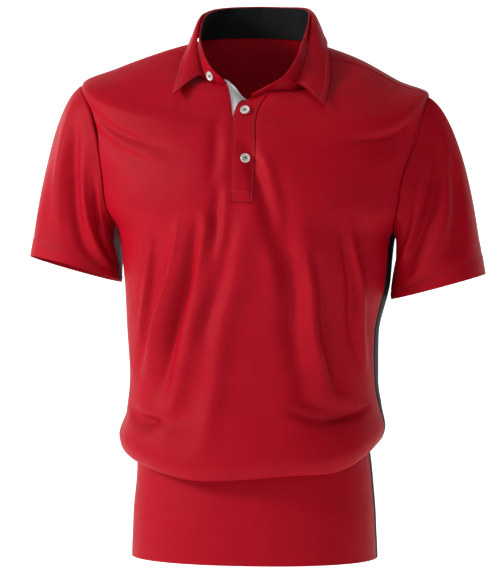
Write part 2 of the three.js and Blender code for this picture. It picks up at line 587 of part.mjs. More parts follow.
// Side panels, from the hem to the armpit.
const SIDE_RUNS = BODY_RUNS.filter((run) => run <= ARMPIT_RUN);
for (const [name, side] of [
  ["side_panel_right", -1],
  ["side_panel_left", 1],
]) {
  const turnOf = (c, run) => {
    const from = frontEdge(run, side) + SEAM_TURN;
    const to = backEdge(run, side) - SEAM_TURN;
    const share = side > 0 ? c / SIDE_CELLS : 1 - c / SIDE_CELLS;
    return side * THREE.MathUtils.lerp(from, to, share);
  };
  add(name, bodySheet(SIDE_CELLS, SIDE_RUNS, turnOf), BLACK);
}

// Placket strips, on and under the front's own surface.
const PLACKET_RUNS = [
  PLACKET_FOOT_RUN - PLACKET_BOX_DEPTH,
  ...BODY_RUNS.filter((run) => run >= PLACKET_FOOT_RUN && run < NECK_RUN),
  NECK_RUN,
];
const stripRows = PLACKET_RUNS.length - 1;
// The distances across a strip: its edges, the edges of the opening and the columns between.
const openingWidth = PLACKET_WIDTH - PLACKET_LAP - 1;
const openingSteps = Array.from({ length: OPENING_CELLS + 1 }, (_, i) => (i / OPENING_CELLS) * openingWidth);
const stripCells = OPENING_CELLS + 2;
const overSteps = [-1, ...openingSteps, openingWidth + PLACKET_LAP];
const underSteps = [-PLACKET_LAP, ...openingSteps, openingWidth + 1];
add(
  "placket_over",
  sheet({
    columns: stripCells,
    rows: stripRows,
    place: (c, r) => {
      const run = Math.min(PLACKET_RUNS[r], NECK_RUN - PLACKET_STOP);
      return [turnAt(lapEdgeX(run) + 1 + overSteps[c], run), run];
    },
    surface: (turn, run) => bodyPoint(turn, run, SEAM_GAP + FOLDED_CLOTH),
    thick: FOLDED_CLOTH,
  }),
  RED,
);
function underPlace(c, r) {
  const share = c / stripCells;
  const top = THREE.MathUtils.lerp(UNDER_PLACKET_TOP.insideRun, UNDER_PLACKET_TOP.outsideRun, share);
  const run = r > stripRows ? top : PLACKET_RUNS[r];
  const step = c === 0 && run >= NECK_RUN ? SEAM_GAP : underSteps[c];
  return [turnAt(rightEdgeX(run) + step, run), run];
}
function underSurface(turn, run) {
  const past = Math.max(run - NECK_RUN, 0);
  const at = bodyPoint(turn, Math.min(run, NECK_RUN), -(COLLAR_WALL + SEAM_GAP));
  at.y += UNDER_PLACKET_TUCK.in * rampUp(run, NECK_RUN - UNDER_PLACKET_TUCK.span, UNDER_PLACKET_TUCK.span);
  return at.addScaledVector(UNDER_PLACKET_RISE, past);
}
add(
  "placket_under",
  sheet({
    columns: stripCells,
    rows: stripRows + 1,
    place: underPlace,
    surface: underSurface,
    thick: CLOTH,
  }),
  GREY,
);

// An armhole as one loop: from the shoulder tip down the front, across the side panel and up the
// back. A row's share is its part of the way round.
const armholeRuns = BODY_RUNS.filter((run) => run > ARMPIT_RUN && run <= TIP_RUN);
const sideShares = Array.from({ length: SIDE_CELLS + 1 }, (_, i) => i / SIDE_CELLS);
function armholeOf(side) {
  const atFront = frontEdge(ARMPIT_RUN, side);
  const atBack = backEdge(ARMPIT_RUN, side);
  const across = (share) => THREE.MathUtils.lerp(atFront, atBack, share);
  const rows = [
    ...armholeRuns.toReversed().map((run) => ({ turn: frontEdge(run, side), run })),
    ...sideShares.map((share) => ({ turn: across(share), run: ARMPIT_RUN })),
    ...armholeRuns.map((run) => ({ turn: backEdge(run, side), run })),
  ];
  let walked = 0;
  rows.forEach((row, i) => {
    const last = rows[Math.max(i - 1, 0)];
    walked += ringPoint(side * row.turn, row.run).distanceTo(ringPoint(side * last.turn, last.run));
    row.way = walked;
  });
  rows.forEach((row) => {
    row.share = row.way / walked;
  });
  return { rows, runAt: through(rows, "share", "run"), turnAt: through(rows, "share", "turn") };
}
const armholes = { right: armholeOf(-1), left: armholeOf(1) };
const sleeveCells = armholes.left.rows.length - 1;

// Sleeves: a loft from the armhole to the cuff, whose lines leave the shoulder and arrive along
// the arm.
function cuffPoint(side, share) {
  const angle = 2 * Math.PI * share;
  const midX = (CUFF.outerX + CUFF.innerX) / 2;
  const midZ = (CUFF.outerZ + CUFF.innerZ) / 2;
  const reach = Math.cos(angle) / 2;
  const y = CUFF.y - CUFF.halfDepth * Math.sin(angle);
  const tilt = side > 0 ? CUFF_TILT_LEFT : CUFF_TILT_RIGHT;
  const rise = side > 0 ? CUFF_RISE_LEFT : CUFF_RISE_RIGHT;
  return vector(
    midX + (CUFF.outerX - CUFF.innerX) * reach,
    y,
    midZ + (CUFF.outerZ - CUFF.innerZ) * reach + tilt * (y - CUFF.y) + rise,
  );
}
function sleeveBase(side, share, along) {
  const loop = share - Math.floor(share);
  const armhole = armholes[sideName(side)];
  const start = ringPoint(side * armhole.turnAt(loop), armhole.runAt(loop));
  start.x *= side;
  const end = cuffPoint(side, loop);
  const under = (1 - Math.cos(2 * Math.PI * loop)) / 2;
  const length = start.distanceTo(end);
  const leave = SLEEVE_TOP.clone().lerp(SLEEVE_BOTTOM, under).setLength(length * SLEEVE_START_PULL);
  const arrive = ARM_LINE.clone().setLength(length * SLEEVE_END_PULL);
  const t = along;
  const t2 = t * t;
  const t3 = t2 * t;
  const point = start
    .multiplyScalar(2 * t3 - 3 * t2 + 1)
    .addScaledVector(leave, t3 - 2 * t2 + t)
    .addScaledVector(end, 3 * t2 - 2 * t3)
    .addScaledVector(arrive, t3 - t2);
  point.x *= side;
  return point;
}
function sleeveOutward(surface, side, share, along) {
  const inside = clamp(along, SLEEVE_STEP.v, 1 - SLEEVE_STEP.v);
  return outward(surface, share, inside, SLEEVE_STEP).multiplyScalar(side);
}
function sleeveSurface(side, folds) {
  const base = (share, along) => sleeveBase(side, share, along);
  return (share, along) => {
    const loop = share - Math.floor(share);
    const hem = HEM_PUFF * rampUp(along * SLEEVE_LENGTH, SLEEVE_LENGTH - SLEEVE_HEM_DEPTH, HEM_RAMP);
    const lift = foldLift(folds, loop, along, SLEEVE_ARC, SLEEVE_LENGTH) * sleeveShare(along) + hem;
    return base(share, along).addScaledVector(sleeveOutward(base, side, share, along), lift);
  };
}
for (const [name, side, folds] of [
  ["sleeve_right", -1, SLEEVE_FOLDS_RIGHT],
  ["sleeve_left", 1, SLEEVE_FOLDS_LEFT],
]) {
  const surface = sleeveSurface(side, folds);
  const place = (c, r) => {
    return [armholes[sideName(side)].rows[side > 0 ? c : sleeveCells - c].share, SLEEVE_ALONG[r]];
  };
  add(
    name,
    wall({
      columns: sleeveCells,
      rows: SLEEVE_ALONG.length - 1,
      outer: (c, r) => surface(...place(c, r)),
      inner: (c, r) =>
        surface(...place(c, r)).addScaledVector(sleeveOutward(surface, side, ...place(c, r)), -CLOTH),
      closed: true,
    }),
    RED,
  );
}

// The collar stand, from just above the neckline up to the fold.
const standTop = Object.fromEntries(
  Object.keys(STAND_TOP[0]).map((column) => [column, through(STAND_TOP, "turn", column)]),
);
const leafEdge = Object.fromEntries(
  Object.keys(LEAF_EDGE[0]).map((column) => [column, through(LEAF_EDGE, "turn", column)]),
);
const leafShare = bothSides(LEAF_ROOT, "turn");
const collarPoint = (table, turn) => {
  const side = sideName(turn);
  const angle = Math.abs(turn);
  const x = Math.sign(turn) * table[`${side}X`](angle);
  return lean(vector(x, table[`${side}Y`](angle), table[`${side}Z`](angle)));
};
function standSurface(way, share) {
  const turn = wrap(way);
  const base = ringPoint(turn, NECK_RUN);
  const top = collarPoint(standTop, turn);
  const height = base.distanceTo(top);
  return base.lerp(top, (NECK_GAP + share * (height - NECK_GAP)) / height);
}
const rightEnd = 360 + turnAt(rightEdgeX(NECK_RUN), NECK_RUN);
const leftEnd = turnAt(lapEdgeX(NECK_RUN), NECK_RUN);
const standWay = (c) => THREE.MathUtils.lerp(leftEnd, rightEnd, c / COLLAR_CELLS);
add(
  "collar_stand",
  sheet({
    columns: COLLAR_CELLS,
    rows: STAND_ROWS,
    place: (c, r) => [standWay(c), r / STAND_ROWS],
    surface: standSurface,
    thick: COLLAR_WALL,
    step: COLLAR_STEP,
  }),
  RED,
);

// The collar leaf rolls up and out over the fold and falls to its outer edge.
function leafRoot(way) {
  const turn = wrap(way);
  const angle = Math.abs(turn);
  const share = leafShare[sideName(turn)](angle);
  const beside = (COLLAR_WALL + SEAM_GAP) * (1 - rampUp(angle, LEAF_SLIDE.from, LEAF_SLIDE.span));
  const at = standSurface(way, share);
  at.addScaledVector(outward(standSurface, way, share, COLLAR_STEP), beside);
  if (share > 1 - COLLAR_STEP.v) at.z += SEAM_GAP;
  return at;
}
function leafSurface(way, share) {
  const start = leafRoot(way);
  const end = collarPoint(leafEdge, wrap(way));
  const out = vector(end.x - start.x, end.y - start.y, 0).normalize();
  const roll = start.clone().addScaledVector(out, LEAF_ROLL_OUT);
  roll.z += LEAF_ROLL_UP;
  const t = 1 - share;
  return start
    .multiplyScalar((1 - t) * (1 - t))
    .addScaledVector(roll, 2 * t * (1 - t))
    .addScaledVector(end, t * t);
}
add(
  "collar_leaf",
  sheet({
    columns: LEAF_CELLS.to - LEAF_CELLS.from,
    rows: LEAF_ROWS,
    place: (c, r) => [standWay(LEAF_CELLS.from + c), r / LEAF_ROWS],
    surface: leafSurface,
    thick: COLLAR_WALL,
    step: COLLAR_STEP,
  }),
  RED,
);

// The black facing inside the back of the stand.
const facingSurface = (way, share) => {
  const at = standSurface(way, share);
  return at.addScaledVector(outward(standSurface, way, share, COLLAR_STEP), -(COLLAR_WALL + SEAM_GAP));
};
add(
  "collar_facing",
  sheet({
    columns: FACING_CELLS.to - FACING_CELLS.from,
    rows: STAND_ROWS,
    place: (c, r) => [standWay(FACING_CELLS.from + c), r / STAND_ROWS],
    surface: facingSurface,
    thick: FACING_WALL,
    step: COLLAR_STEP,
  }),
  BLACK,
);

// Buttons: a dished disc with a raised rim and four holes, set on the cloth.
const { Manifold, Mesh } = await openSolids();
async function openSolids() {
  const wasm = await Module();
  wasm.setup();
  return wasm;
}
function toSolid(geometry) {
  const bare = new THREE.BufferGeometry();
  bare.setAttribute("position", geometry.getAttribute("position"));
  bare.setIndex(geometry.getIndex());
  const merged = mergeVertices(bare, 1e-4);
  return new Manifold(
    new Mesh({
      numProp: 3,
      vertProperties: new Float32Array(merged.getAttribute("position").array),
      triVerts: new Uint32Array(merged.getIndex().array),
    }),
  );
}
function toGeometry(solid) {
  const mesh = solid.getMesh();
  const geometry = new THREE.BufferGeometry();
  geometry.setAttribute("position", new THREE.BufferAttribute(new Float32Array(mesh.vertProperties), 3));
  geometry.setIndex(new THREE.BufferAttribute(new Uint32Array(mesh.triVerts), 1));
  return geometry;
}
const half = BUTTON.thick / 2;
const profile = [
  [0, -half],
  [BUTTON.radius - BUTTON.bevel, -half],
  [BUTTON.radius, -half + BUTTON.bevel],
  [BUTTON.radius, half - BUTTON.bevel],
  [BUTTON.radius - BUTTON.bevel, half],
  [BUTTON.radius - BUTTON.rim, half],
  [BUTTON.radius - BUTTON.rim - BUTTON.bevel, half - BUTTON.dish],
  [0, half - BUTTON.dish],
].map(([x, y]) => new THREE.Vector2(x, y));
let button = toSolid(new THREE.LatheGeometry(profile, BUTTON_SIDES));
for (const x of [-1, 1])
  for (const z of [-1, 1]) {
    const { holeRadius, thick } = BUTTON;
    const hole = new THREE.CylinderGeometry(holeRadius, holeRadius, 2 * thick, HOLE_SIDES);
    hole.translate((x * BUTTON.holePitch) / 2, 0, (z * BUTTON.holePitch) / 2);
    button = button.subtract(toSolid(hole));
  }
const buttonGeometry = toGeometry(button).rotateX(Math.PI / 2);
function addButton(name, at, out, level) {
  const geometry = buttonGeometry.clone();
  geometry.applyQuaternion(new THREE.Quaternion().setFromUnitVectors(vector(0, 0, 1), out));
  const centre = at.addScaledVector(out, level + SEAM_GAP + half);
  add(name, geometry.translate(centre.x, centre.y, centre.z), SHELL);
}
for (const { name, x, run } of BUTTONS) {
  const turn = turnAt(x, run);
  const out = outward(cloth, turn, run, BODY_STEP);
  addButton(name, cloth(turn, run), out, SEAM_GAP + FOLDED_CLOTH);
}
const bandWay = 360 + COLLAR_BUTTON.turn;
addButton(
  "button_collar",
  standSurface(bandWay, COLLAR_BUTTON.share),
  outward(standSurface, bandWay, COLLAR_BUTTON.share, COLLAR_STEP),
  COLLAR_BUTTON.level,
);

export default group;
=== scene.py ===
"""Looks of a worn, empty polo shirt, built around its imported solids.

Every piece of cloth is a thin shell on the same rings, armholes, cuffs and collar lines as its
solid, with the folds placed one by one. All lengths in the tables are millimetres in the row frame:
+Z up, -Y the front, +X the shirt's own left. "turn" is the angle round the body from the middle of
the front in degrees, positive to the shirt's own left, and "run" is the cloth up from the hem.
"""

import logging
import math
from dataclasses import dataclass, field, fields
from enum import Enum
from typing import Callable, Optional, Sequence

import bpy
import numpy as np
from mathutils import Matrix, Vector


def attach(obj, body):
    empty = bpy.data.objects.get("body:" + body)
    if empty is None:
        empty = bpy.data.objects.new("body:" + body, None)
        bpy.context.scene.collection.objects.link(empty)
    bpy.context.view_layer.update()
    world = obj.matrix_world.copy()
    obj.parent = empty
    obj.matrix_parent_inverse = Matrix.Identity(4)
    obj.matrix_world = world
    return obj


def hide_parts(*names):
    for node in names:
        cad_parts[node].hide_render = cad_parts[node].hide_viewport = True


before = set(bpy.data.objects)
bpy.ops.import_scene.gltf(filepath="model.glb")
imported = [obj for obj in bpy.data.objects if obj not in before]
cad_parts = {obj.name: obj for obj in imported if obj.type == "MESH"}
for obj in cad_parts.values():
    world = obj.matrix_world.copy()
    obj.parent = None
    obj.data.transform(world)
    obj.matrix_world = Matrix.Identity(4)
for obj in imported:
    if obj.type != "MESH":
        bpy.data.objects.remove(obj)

Array = np.ndarray
Surface = Callable[[Array, Array], Array]

log = logging.getLogger("polo")
BODY = "root"
MM = 0.001
UP = np.array([0.0, 0.0, 1.0])
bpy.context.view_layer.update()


class Side(Enum):
    """A side of the shirt; the value is the sign of X."""

    RIGHT = -1
    LEFT = 1


class Hold(Enum):
    """How a sheet of cloth is held up."""

    HUNG = "hung"
    FOLDED = "folded"
    STRETCHED = "stretched"


# Curves and grids.


class Curve:
    """A smooth curve through the rows of a table that never overshoots them."""

    def __init__(self, at: Sequence[float], value: Sequence[float]) -> None:
        """Slopes are the harmonic mean of the two neighbouring rises, and zero at a peak.

        Args:
            at: The rising positions of the rows.
            value: The value of each row.
        """
        self.at = np.asarray(at, float)
        self.value = np.asarray(value, float)
        rise = np.diff(self.value) / np.diff(self.at)
        product, total = rise[:-1] * rise[1:], rise[:-1] + rise[1:]
        inner = np.where(product > 0, 2 * product / np.where(total == 0, 1, total), 0)
        self.slope = np.concatenate([rise[:1], inner, rise[-1:]])

    def __call__(self, where: Array) -> Array:
        """The curve's value: a cubic between two rows, and the end rows' values outside them.

        Args:
            where: Positions along the table.

        Returns:
            The values there, in the same shape.
        """
        x = np.clip(where, self.at[0], self.at[-1])
        i = np.clip(np.searchsorted(self.at, x, side="left") - 1, 0, len(self.at) - 2)
        span = self.at[i + 1] - self.at[i]
        t = (x - self.at[i]) / span
        t2, t3 = t * t, t * t * t
        return (
            (2 * t3 - 3 * t2 + 1) * self.value[i]
            + (t3 - 2 * t2 + t) * span * self.slope[i]
            + (3 * t2 - 2 * t3) * self.value[i + 1]
            + (t3 - t2) * span * self.slope[i + 1]
        )


def table_curve(rows: Sequence[object], across: str, column: str) -> Curve:
    """A curve through one column of a table.

    Args:
        rows: The table's rows.
        across: The column of positions.
        column: The column of values.

    Returns:
        The curve.
    """
    return Curve([getattr(r, across) for r in rows], [getattr(r, column) for r in rows])


def smooth(t: Array) -> Array:
    """A soft step: 0 below 0, 1 above 1, and level at both ends."""
    t = np.clip(t, 0.0, 1.0)
    return t * t * (3 - 2 * t)


def bump(distance: Array, half: Array) -> Array:
    """A bell of height 1 that has fallen to a third at a distance of half."""
    return np.exp(-((distance / half) ** 2))


def mix(a: Array, b: Array, share: Array) -> Array:
    """The value a share of the way from a to b."""
    return a + (b - a) * share


def unit(v: Array) -> Array:
    """The vectors scaled to length 1."""
    return v / np.maximum(np.linalg.norm(v, axis=-1, keepdims=True), 1e-12)


def outward(surface: Surface, u: Array, v: Array, du: float, dv: float) -> Array:
    """The outward direction: the cross product of the steps across and up a surface.

    Args:
        surface: The surface, as a function of two parameters.
        u: The parameter that grows to the left as seen from outside.
        v: The parameter that grows upwards.
        du: Half the step across.
        dv: Half the step up.

    Returns:
        Unit vectors.
    """
    across = surface(u + du, v) - surface(u - du, v)
    up = surface(u, v + dv) - surface(u, v - dv)
    return unit(np.cross(across, up))


def shares(count: int, near_start: bool = False, near_end: bool = False) -> Array:
    """Even shares from 0 to 1, with some more close to the ends that carry a seam.

    Args:
        count: How many even steps.
        near_start: Whether more shares are wanted near 0.
        near_end: Whether more shares are wanted near 1.

    Returns:
        The rising shares.
    """
    close = np.array([0.22, 0.5]) / count
    extra = [close] if near_start else []
    extra += [1 - close] if near_end else []
    return np.unique(np.concatenate([np.linspace(0, 1, count + 1), *extra]))


# Meshes.


def new_object(
    name: str,
    vertices: Array,
    faces: list[tuple[int, ...]],
    uv: Optional[Array] = None,
) -> bpy.types.Object:
    """A mesh object at the origin, smooth shaded, with sharp edges kept.

    Args:
        name: The piece's name.
        vertices: Points in millimetres.
        faces: Vertex numbers of each face.
        uv: One pair for each vertex, in metres of cloth.

    Returns:
        The object, linked to the scene.
    """
    mesh = bpy.data.meshes.new(name)
    mesh.from_pydata((vertices * MM).tolist(), [], faces)
    if uv is not None:
        layer = mesh.uv_layers.new(name="cloth")
        corner = np.empty(len(mesh.loops), dtype=np.int32)
        mesh.loops.foreach_get("vertex_index", corner)
        layer.data.foreach_set("uv", uv[corner].astype(np.float32).ravel())
    mesh.polygons.foreach_set("use_smooth", np.ones(len(mesh.polygons), dtype=bool))
    mesh.update()
    mesh.set_sharp_from_angle(angle=math.radians(48))
    made = bpy.data.objects.new(name, mesh)
    bpy.context.scene.collection.objects.link(made)
    return made


@dataclass
class Shell:
    """A grid of cloth: outer points, and inner points one wall inside them.

    Attributes:
        outer: Points of the right side, rows by columns by 3.
        inner: Points of the wrong side.
        present: Which cells have cloth, rows by columns.
        closed: Whether the last column joins the first.
    """

    outer: Array
    inner: Array
    present: Optional[Array] = None
    closed: bool = False

    def build(self, name: str) -> bpy.types.Object:
        """Both sides and a rim wherever a cell has no neighbour.

        Args:
            name: The piece's name.

        Returns:
            The closed shell.
        """
        rows, width = self.outer.shape[0] - 1, self.outer.shape[1]
        columns = width if self.closed else width - 1
        has = np.ones((rows, columns), bool) if self.present is None else self.present
        ids = np.arange((rows + 1) * width).reshape(rows + 1, width)
        after = (np.arange(columns) + 1) % width
        a, b = ids[:-1, :columns], ids[:-1][:, after]
        d, c = ids[1:, :columns], ids[1:][:, after]
        lower = (rows + 1) * width
        padded = np.pad(has, 1)
        if self.closed:
            padded[1:-1, 0], padded[1:-1, -1] = has[:, -1], has[:, 0]
        below, above = padded[:-2, 1:-1], padded[2:, 1:-1]
        before, beyond = padded[1:-1, :-2], padded[1:-1, 2:]
        quads = [
            (has, (a, b, c, d)),
            (has, (a + lower, d + lower, c + lower, b + lower)),
            (has & ~below, (a + lower, b + lower, b, a)),
            (has & ~above, (d, c, c + lower, d + lower)),
            (has & ~before, (a, d, d + lower, a + lower)),
            (has & ~beyond, (b + lower, c + lower, c, b)),
        ]
        faces = np.concatenate([np.stack([q[keep] for q in four], -1) for keep, four in quads])
        points = np.concatenate([self.outer.reshape(-1, 3), self.inner.reshape(-1, 3)])
        used, renumbered = np.unique(faces, return_inverse=True)
        across = np.linalg.norm(np.diff(self.outer, axis=1), axis=-1)
        along = np.linalg.norm(np.diff(self.outer, axis=0), axis=-1)
        u = np.pad(np.cumsum(across, axis=1), ((0, 0), (1, 0))) + 0 * self.outer[..., 0]
        v = np.pad(np.cumsum(along, axis=0), ((1, 0), (0, 0)))
        u = u - u[:, width // 2 : width // 2 + 1]
        v = np.broadcast_to(v.mean(axis=1, keepdims=True), u.shape)
        uv = np.tile(np.stack([u, v], -1).reshape(-1, 2) * MM, (2, 1))
        faces_list = renumbered.reshape(faces.shape).tolist()
        return new_object(name, points[used], faces_list, uv[used])


def shell_of(
    surface: Surface,
    u: Array,
    v: Array,
    thick: float,
    step: tuple[float, float],
    present: Optional[Array] = None,
    closed: bool = False,
    flip: float = 1.0,
) -> Shell:
    """A shell whose inner side lies one wall inside a surface.

    Args:
        surface: The right side of the cloth.
        u: The first parameter on the grid.
        v: The second parameter on the grid.
        thick: The wall in millimetres.
        step: Half the steps over which the direction is taken.
        present: Which cells have cloth.
        closed: Whether the grid closes on itself.
        flip: -1 where u grows the other way.

    Returns:
        The shell.
    """
    outer = surface(u, v)
    facing = outward(surface, u, v, *step) * flip
    return Shell(outer, outer - thick * facing, present, closed)


# Finishes.


class Nodes:
    """A material's node tree, with short calls to add and join nodes."""

    def __init__(self, name: str) -> None:
        """Starts a material with only a shader and an output.

        Args:
            name: The material's name.
        """
        self.material = bpy.data.materials.new(name)
        self.material.use_nodes = True
        self.tree = self.material.node_tree
        self.tree.nodes.clear()
        self.shader = self.tree.nodes.new("ShaderNodeBsdfPrincipled")
        output = self.tree.nodes.new("ShaderNodeOutputMaterial")
        self.join(self.shader.outputs["BSDF"], output.inputs["Surface"])

    def add(self, kind: str, **settings: object) -> bpy.types.Node:
        """Adds a node and sets its properties or inputs by name.

        Args:
            kind: The node's type.
            **settings: Properties, or inputs with underscores for spaces.

        Returns:
            The node.
        """
        node = self.tree.nodes.new(kind)
        for key, value in settings.items():
            if hasattr(node, key):
                setattr(node, key, value)
            else:
                node.inputs[key.replace("_", " ")].default_value = value
        return node

    def join(self, source: bpy.types.NodeSocket, target: bpy.types.NodeSocket) -> None:
        """Joins an output to an input."""
        self.tree.links.new(source, target)

    def math(self, operation: str, a: object, b: object = 0.0) -> bpy.types.NodeSocket:
        """One sum or product of two sockets or numbers.

        Args:
            operation: The Math node's operation.
            a: The first socket or number.
            b: The second socket or number.

        Returns:
            The result's socket.
        """
        node = self.add("ShaderNodeMath", operation=operation)
        for value, socket in zip((a, b), node.inputs):
            if isinstance(value, bpy.types.NodeSocket):
                self.join(value, socket)
            else:
                socket.default_value = value
        return node.outputs[0]


@dataclass(frozen=True)
class KnitFinish:
    """Smooth knit with a soft sheen: fine loops, slight mottling and a silky edge light.

    Attributes:
        name: The material's name.
        colour: Linear base colour.
        shade: Linear colour that the mottling mixes in, and that paints shade into the hollows between the
            loops.
        roughness: Roughness of the yarn.
        sheen: Weight of the sheen.
        sheen_tint: Colour of the sheen.
        gloss: Specular level of the yarn.
        loop_width: Distance between two columns of loops, in metres.
        loop_height: Distance between two rows of loops, in metres.
        depth: Height of the loops in metres.
    """

    name: str
    colour: tuple[float, float, float]
    shade: tuple[float, float, float]
    roughness: float = 0.5
    sheen: float = 0.3
    sheen_tint: tuple[float, float, float] = (1.0, 1.0, 1.0)
    gloss: float = 0.4
    loop_width: float = 0.0009
    loop_height: float = 0.0007
    depth: float = 0.00012

    def build(self) -> bpy.types.Material:
        """The loops are sines of the cloth's own two directions, the mottling is soft noise, and painted
        shade darkens the hollows between the loops.

        Returns:
            The material.
        """
        n = Nodes(self.name)
        cloth = n.add("ShaderNodeUVMap", uv_map="cloth").outputs["UV"]
        split = n.add("ShaderNodeSeparateXYZ")
        n.join(cloth, split.inputs[0])
        wale = n.math("SINE", n.math("MULTIPLY", split.outputs[0], 2 * math.pi / self.loop_width))
        lean = n.math("MULTIPLY", n.math("ABSOLUTE", wale), 0.5 * self.loop_height)
        row = n.math("ADD", split.outputs[1], lean)
        course = n.math("SINE", n.math("MULTIPLY", row, 2 * math.pi / self.loop_height))
        loops = n.math("ADD", n.math("MULTIPLY", wale, 0.5), n.math("MULTIPLY", course, 0.5))
        place = n.add("ShaderNodeTexCoord").outputs["Object"]
        mottle = n.add("ShaderNodeTexNoise", Scale=38.0, Detail=5.0, Roughness=0.6)
        fine = n.add("ShaderNodeTexNoise", Scale=900.0, Detail=2.0, Roughness=0.5)
        for noise in (mottle, fine):
            n.join(place, noise.inputs["Vector"])
        colour = n.add("ShaderNodeMix", data_type="RGBA")
        colour.inputs["A"].default_value = (*self.colour, 1)
        colour.inputs["B"].default_value = (*self.shade, 1)
        blend = n.add("ShaderNodeMapRange")
        n.join(mottle.outputs[0], blend.inputs["Value"])
        blend.inputs["From Min"].default_value = 0.35
        blend.inputs["From Max"].default_value = 0.75
        # Painted shade: the hollows between the loops mix further towards the shade colour, on top of the
        # random mottling.
        hollow = n.math("MULTIPLY", n.math("SUBTRACT", 0.0, loops), 0.18)
        mottle_and_painted_shade = n.math("ADD", n.math("MULTIPLY", blend.outputs[0], 0.5), hollow)
        n.join(n.math("MAXIMUM", mottle_and_painted_shade, 0.0), colour.inputs["Factor"])
        n.join(colour.outputs["Result"], n.shader.inputs["Base Color"])
        rough = n.math("ADD", n.math("MULTIPLY", mottle.outputs[0], 0.08), self.roughness - 0.04)
        n.join(rough, n.shader.inputs["Roughness"])
        height = n.math("ADD", loops, n.math("MULTIPLY", fine.outputs[0], 0.8))
        relief = n.add("ShaderNodeBump", Strength=0.35, Distance=self.depth)
        n.join(height, relief.inputs["Height"])
        n.join(relief.outputs[0], n.shader.inputs["Normal"])
        n.shader.inputs["Sheen Weight"].default_value = self.sheen
        n.shader.inputs["Sheen Roughness"].default_value = 0.45
        n.shader.inputs["Sheen Tint"].default_value = (*self.sheen_tint, 1)
        n.shader.inputs["Specular IOR Level"].default_value = self.gloss
        return n.material


@dataclass(frozen=True)
class ThreadFinish:
    """Twisted sewing thread.

    Attributes:
        name: The material's name.
        colour: Linear colour.
        roughness: Roughness of the thread.
    """

    name: str
    colour: tuple[float, float, float]
    roughness: float = 0.55

    def build(self) -> bpy.types.Material:
        """A slanted wave gives the twist, and noise varies the colour a little.

        Returns:
            The material.
        """
        n = Nodes(self.name)
        place = n.add("ShaderNodeTexCoord").outputs["Object"]
        twist = n.add("ShaderNodeTexWave", Scale=900.0, Distortion=1.0, bands_direction="DIAGONAL")
        noise = n.add("ShaderNodeTexNoise", Scale=400.0, Detail=2.0)
        n.join(place, twist.inputs["Vector"])
        n.join(place, noise.inputs["Vector"])
        tone = n.add("ShaderNodeMix", data_type="RGBA")
        tone.inputs["A"].default_value = (*(0.75 * c for c in self.colour), 1)
        tone.inputs["B"].default_value = (*self.colour, 1)
        n.join(noise.outputs[0], tone.inputs["Factor"])
        n.join(tone.outputs["Result"], n.shader.inputs["Base Color"])
        relief = n.add("ShaderNodeBump", Strength=0.4, Distance=0.0001)
        n.join(twist.outputs[0], relief.inputs["Height"])
        n.join(relief.outputs[0], n.shader.inputs["Normal"])
        n.shader.inputs["Roughness"].default_value = self.roughness
        n.shader.inputs["Sheen Weight"].default_value = 0.2
        return n.material


@dataclass(frozen=True)
class ButtonFinish:
    """Pearly moulded button: cloudy streaks under a semi-gloss face.

    Attributes:
        name: The material's name.
        light: Linear colour of the pale streaks.
        dark: Linear colour of the darker streaks.
    """

    name: str = "button_shell"
    light: tuple[float, float, float] = (0.62, 0.57, 0.54)
    dark: tuple[float, float, float] = (0.40, 0.36, 0.34)

    def build(self) -> bpy.types.Material:
        """Stretched noise gives the streaks and a little unevenness in the gloss.

        Returns:
            The material.
        """
        n = Nodes(self.name)
        place = n.add("ShaderNodeTexCoord").outputs["Object"]
        cloud = n.add("ShaderNodeTexNoise", Scale=240.0, Detail=4.0, Distortion=1.5)
        n.join(place, cloud.inputs["Vector"])
        tone = n.add("ShaderNodeMix", data_type="RGBA")
        tone.inputs["A"].default_value = (*self.dark, 1)
        tone.inputs["B"].default_value = (*self.light, 1)
        n.join(cloud.outputs[0], tone.inputs["Factor"])
        n.join(tone.outputs["Result"], n.shader.inputs["Base Color"])
        rough = n.math("ADD", n.math("MULTIPLY", cloud.outputs[0], 0.15), 0.22)
        n.join(rough, n.shader.inputs["Roughness"])
        n.shader.inputs["Coat Weight"].default_value = 0.3
        return n.material


@dataclass(frozen=True)
class Finishes:
    """The materials that the shirt's pieces share."""

    red: bpy.types.Material
    black: bpy.types.Material
    grey: bpy.types.Material
    button: bpy.types.Material
    red_thread: bpy.types.Material
    grey_thread: bpy.types.Material
    dark_thread: bpy.types.Material


def make_finishes() -> Finishes:
    """All the shirt's finishes.

    Returns:
        The materials.
    """
    return Finishes(
        red=KnitFinish(
            name="red_knit",
            colour=(0.33, 0.0012, 0.0095),
            shade=(0.25, 0.0008, 0.007),
            roughness=0.5,
            sheen=0.02,
            sheen_tint=(1.0, 0.05, 0.10),
            gloss=0.07,
        ).build(),
        black=KnitFinish(
            name="black_knit",
            colour=(0.0045, 0.0045, 0.005),
            shade=(0.003, 0.003, 0.0035),
            roughness=0.7,
            sheen=0.02,
            sheen_tint=(0.3, 0.3, 0.32),
            gloss=0.12,
        ).build(),
        grey=KnitFinish("grey_knit", (0.62, 0.62, 0.63), (0.5, 0.5, 0.52), 0.6, 0.15).build(),
        button=ButtonFinish().build(),
        red_thread=ThreadFinish("red_thread", (0.17, 0.0015, 0.006)).build(),
        grey_thread=ThreadFinish("grey_thread", (0.50, 0.50, 0.51)).build(),
        dark_thread=ThreadFinish("dark_thread", (0.03, 0.024, 0.022)).build(),
    )


# Folds.


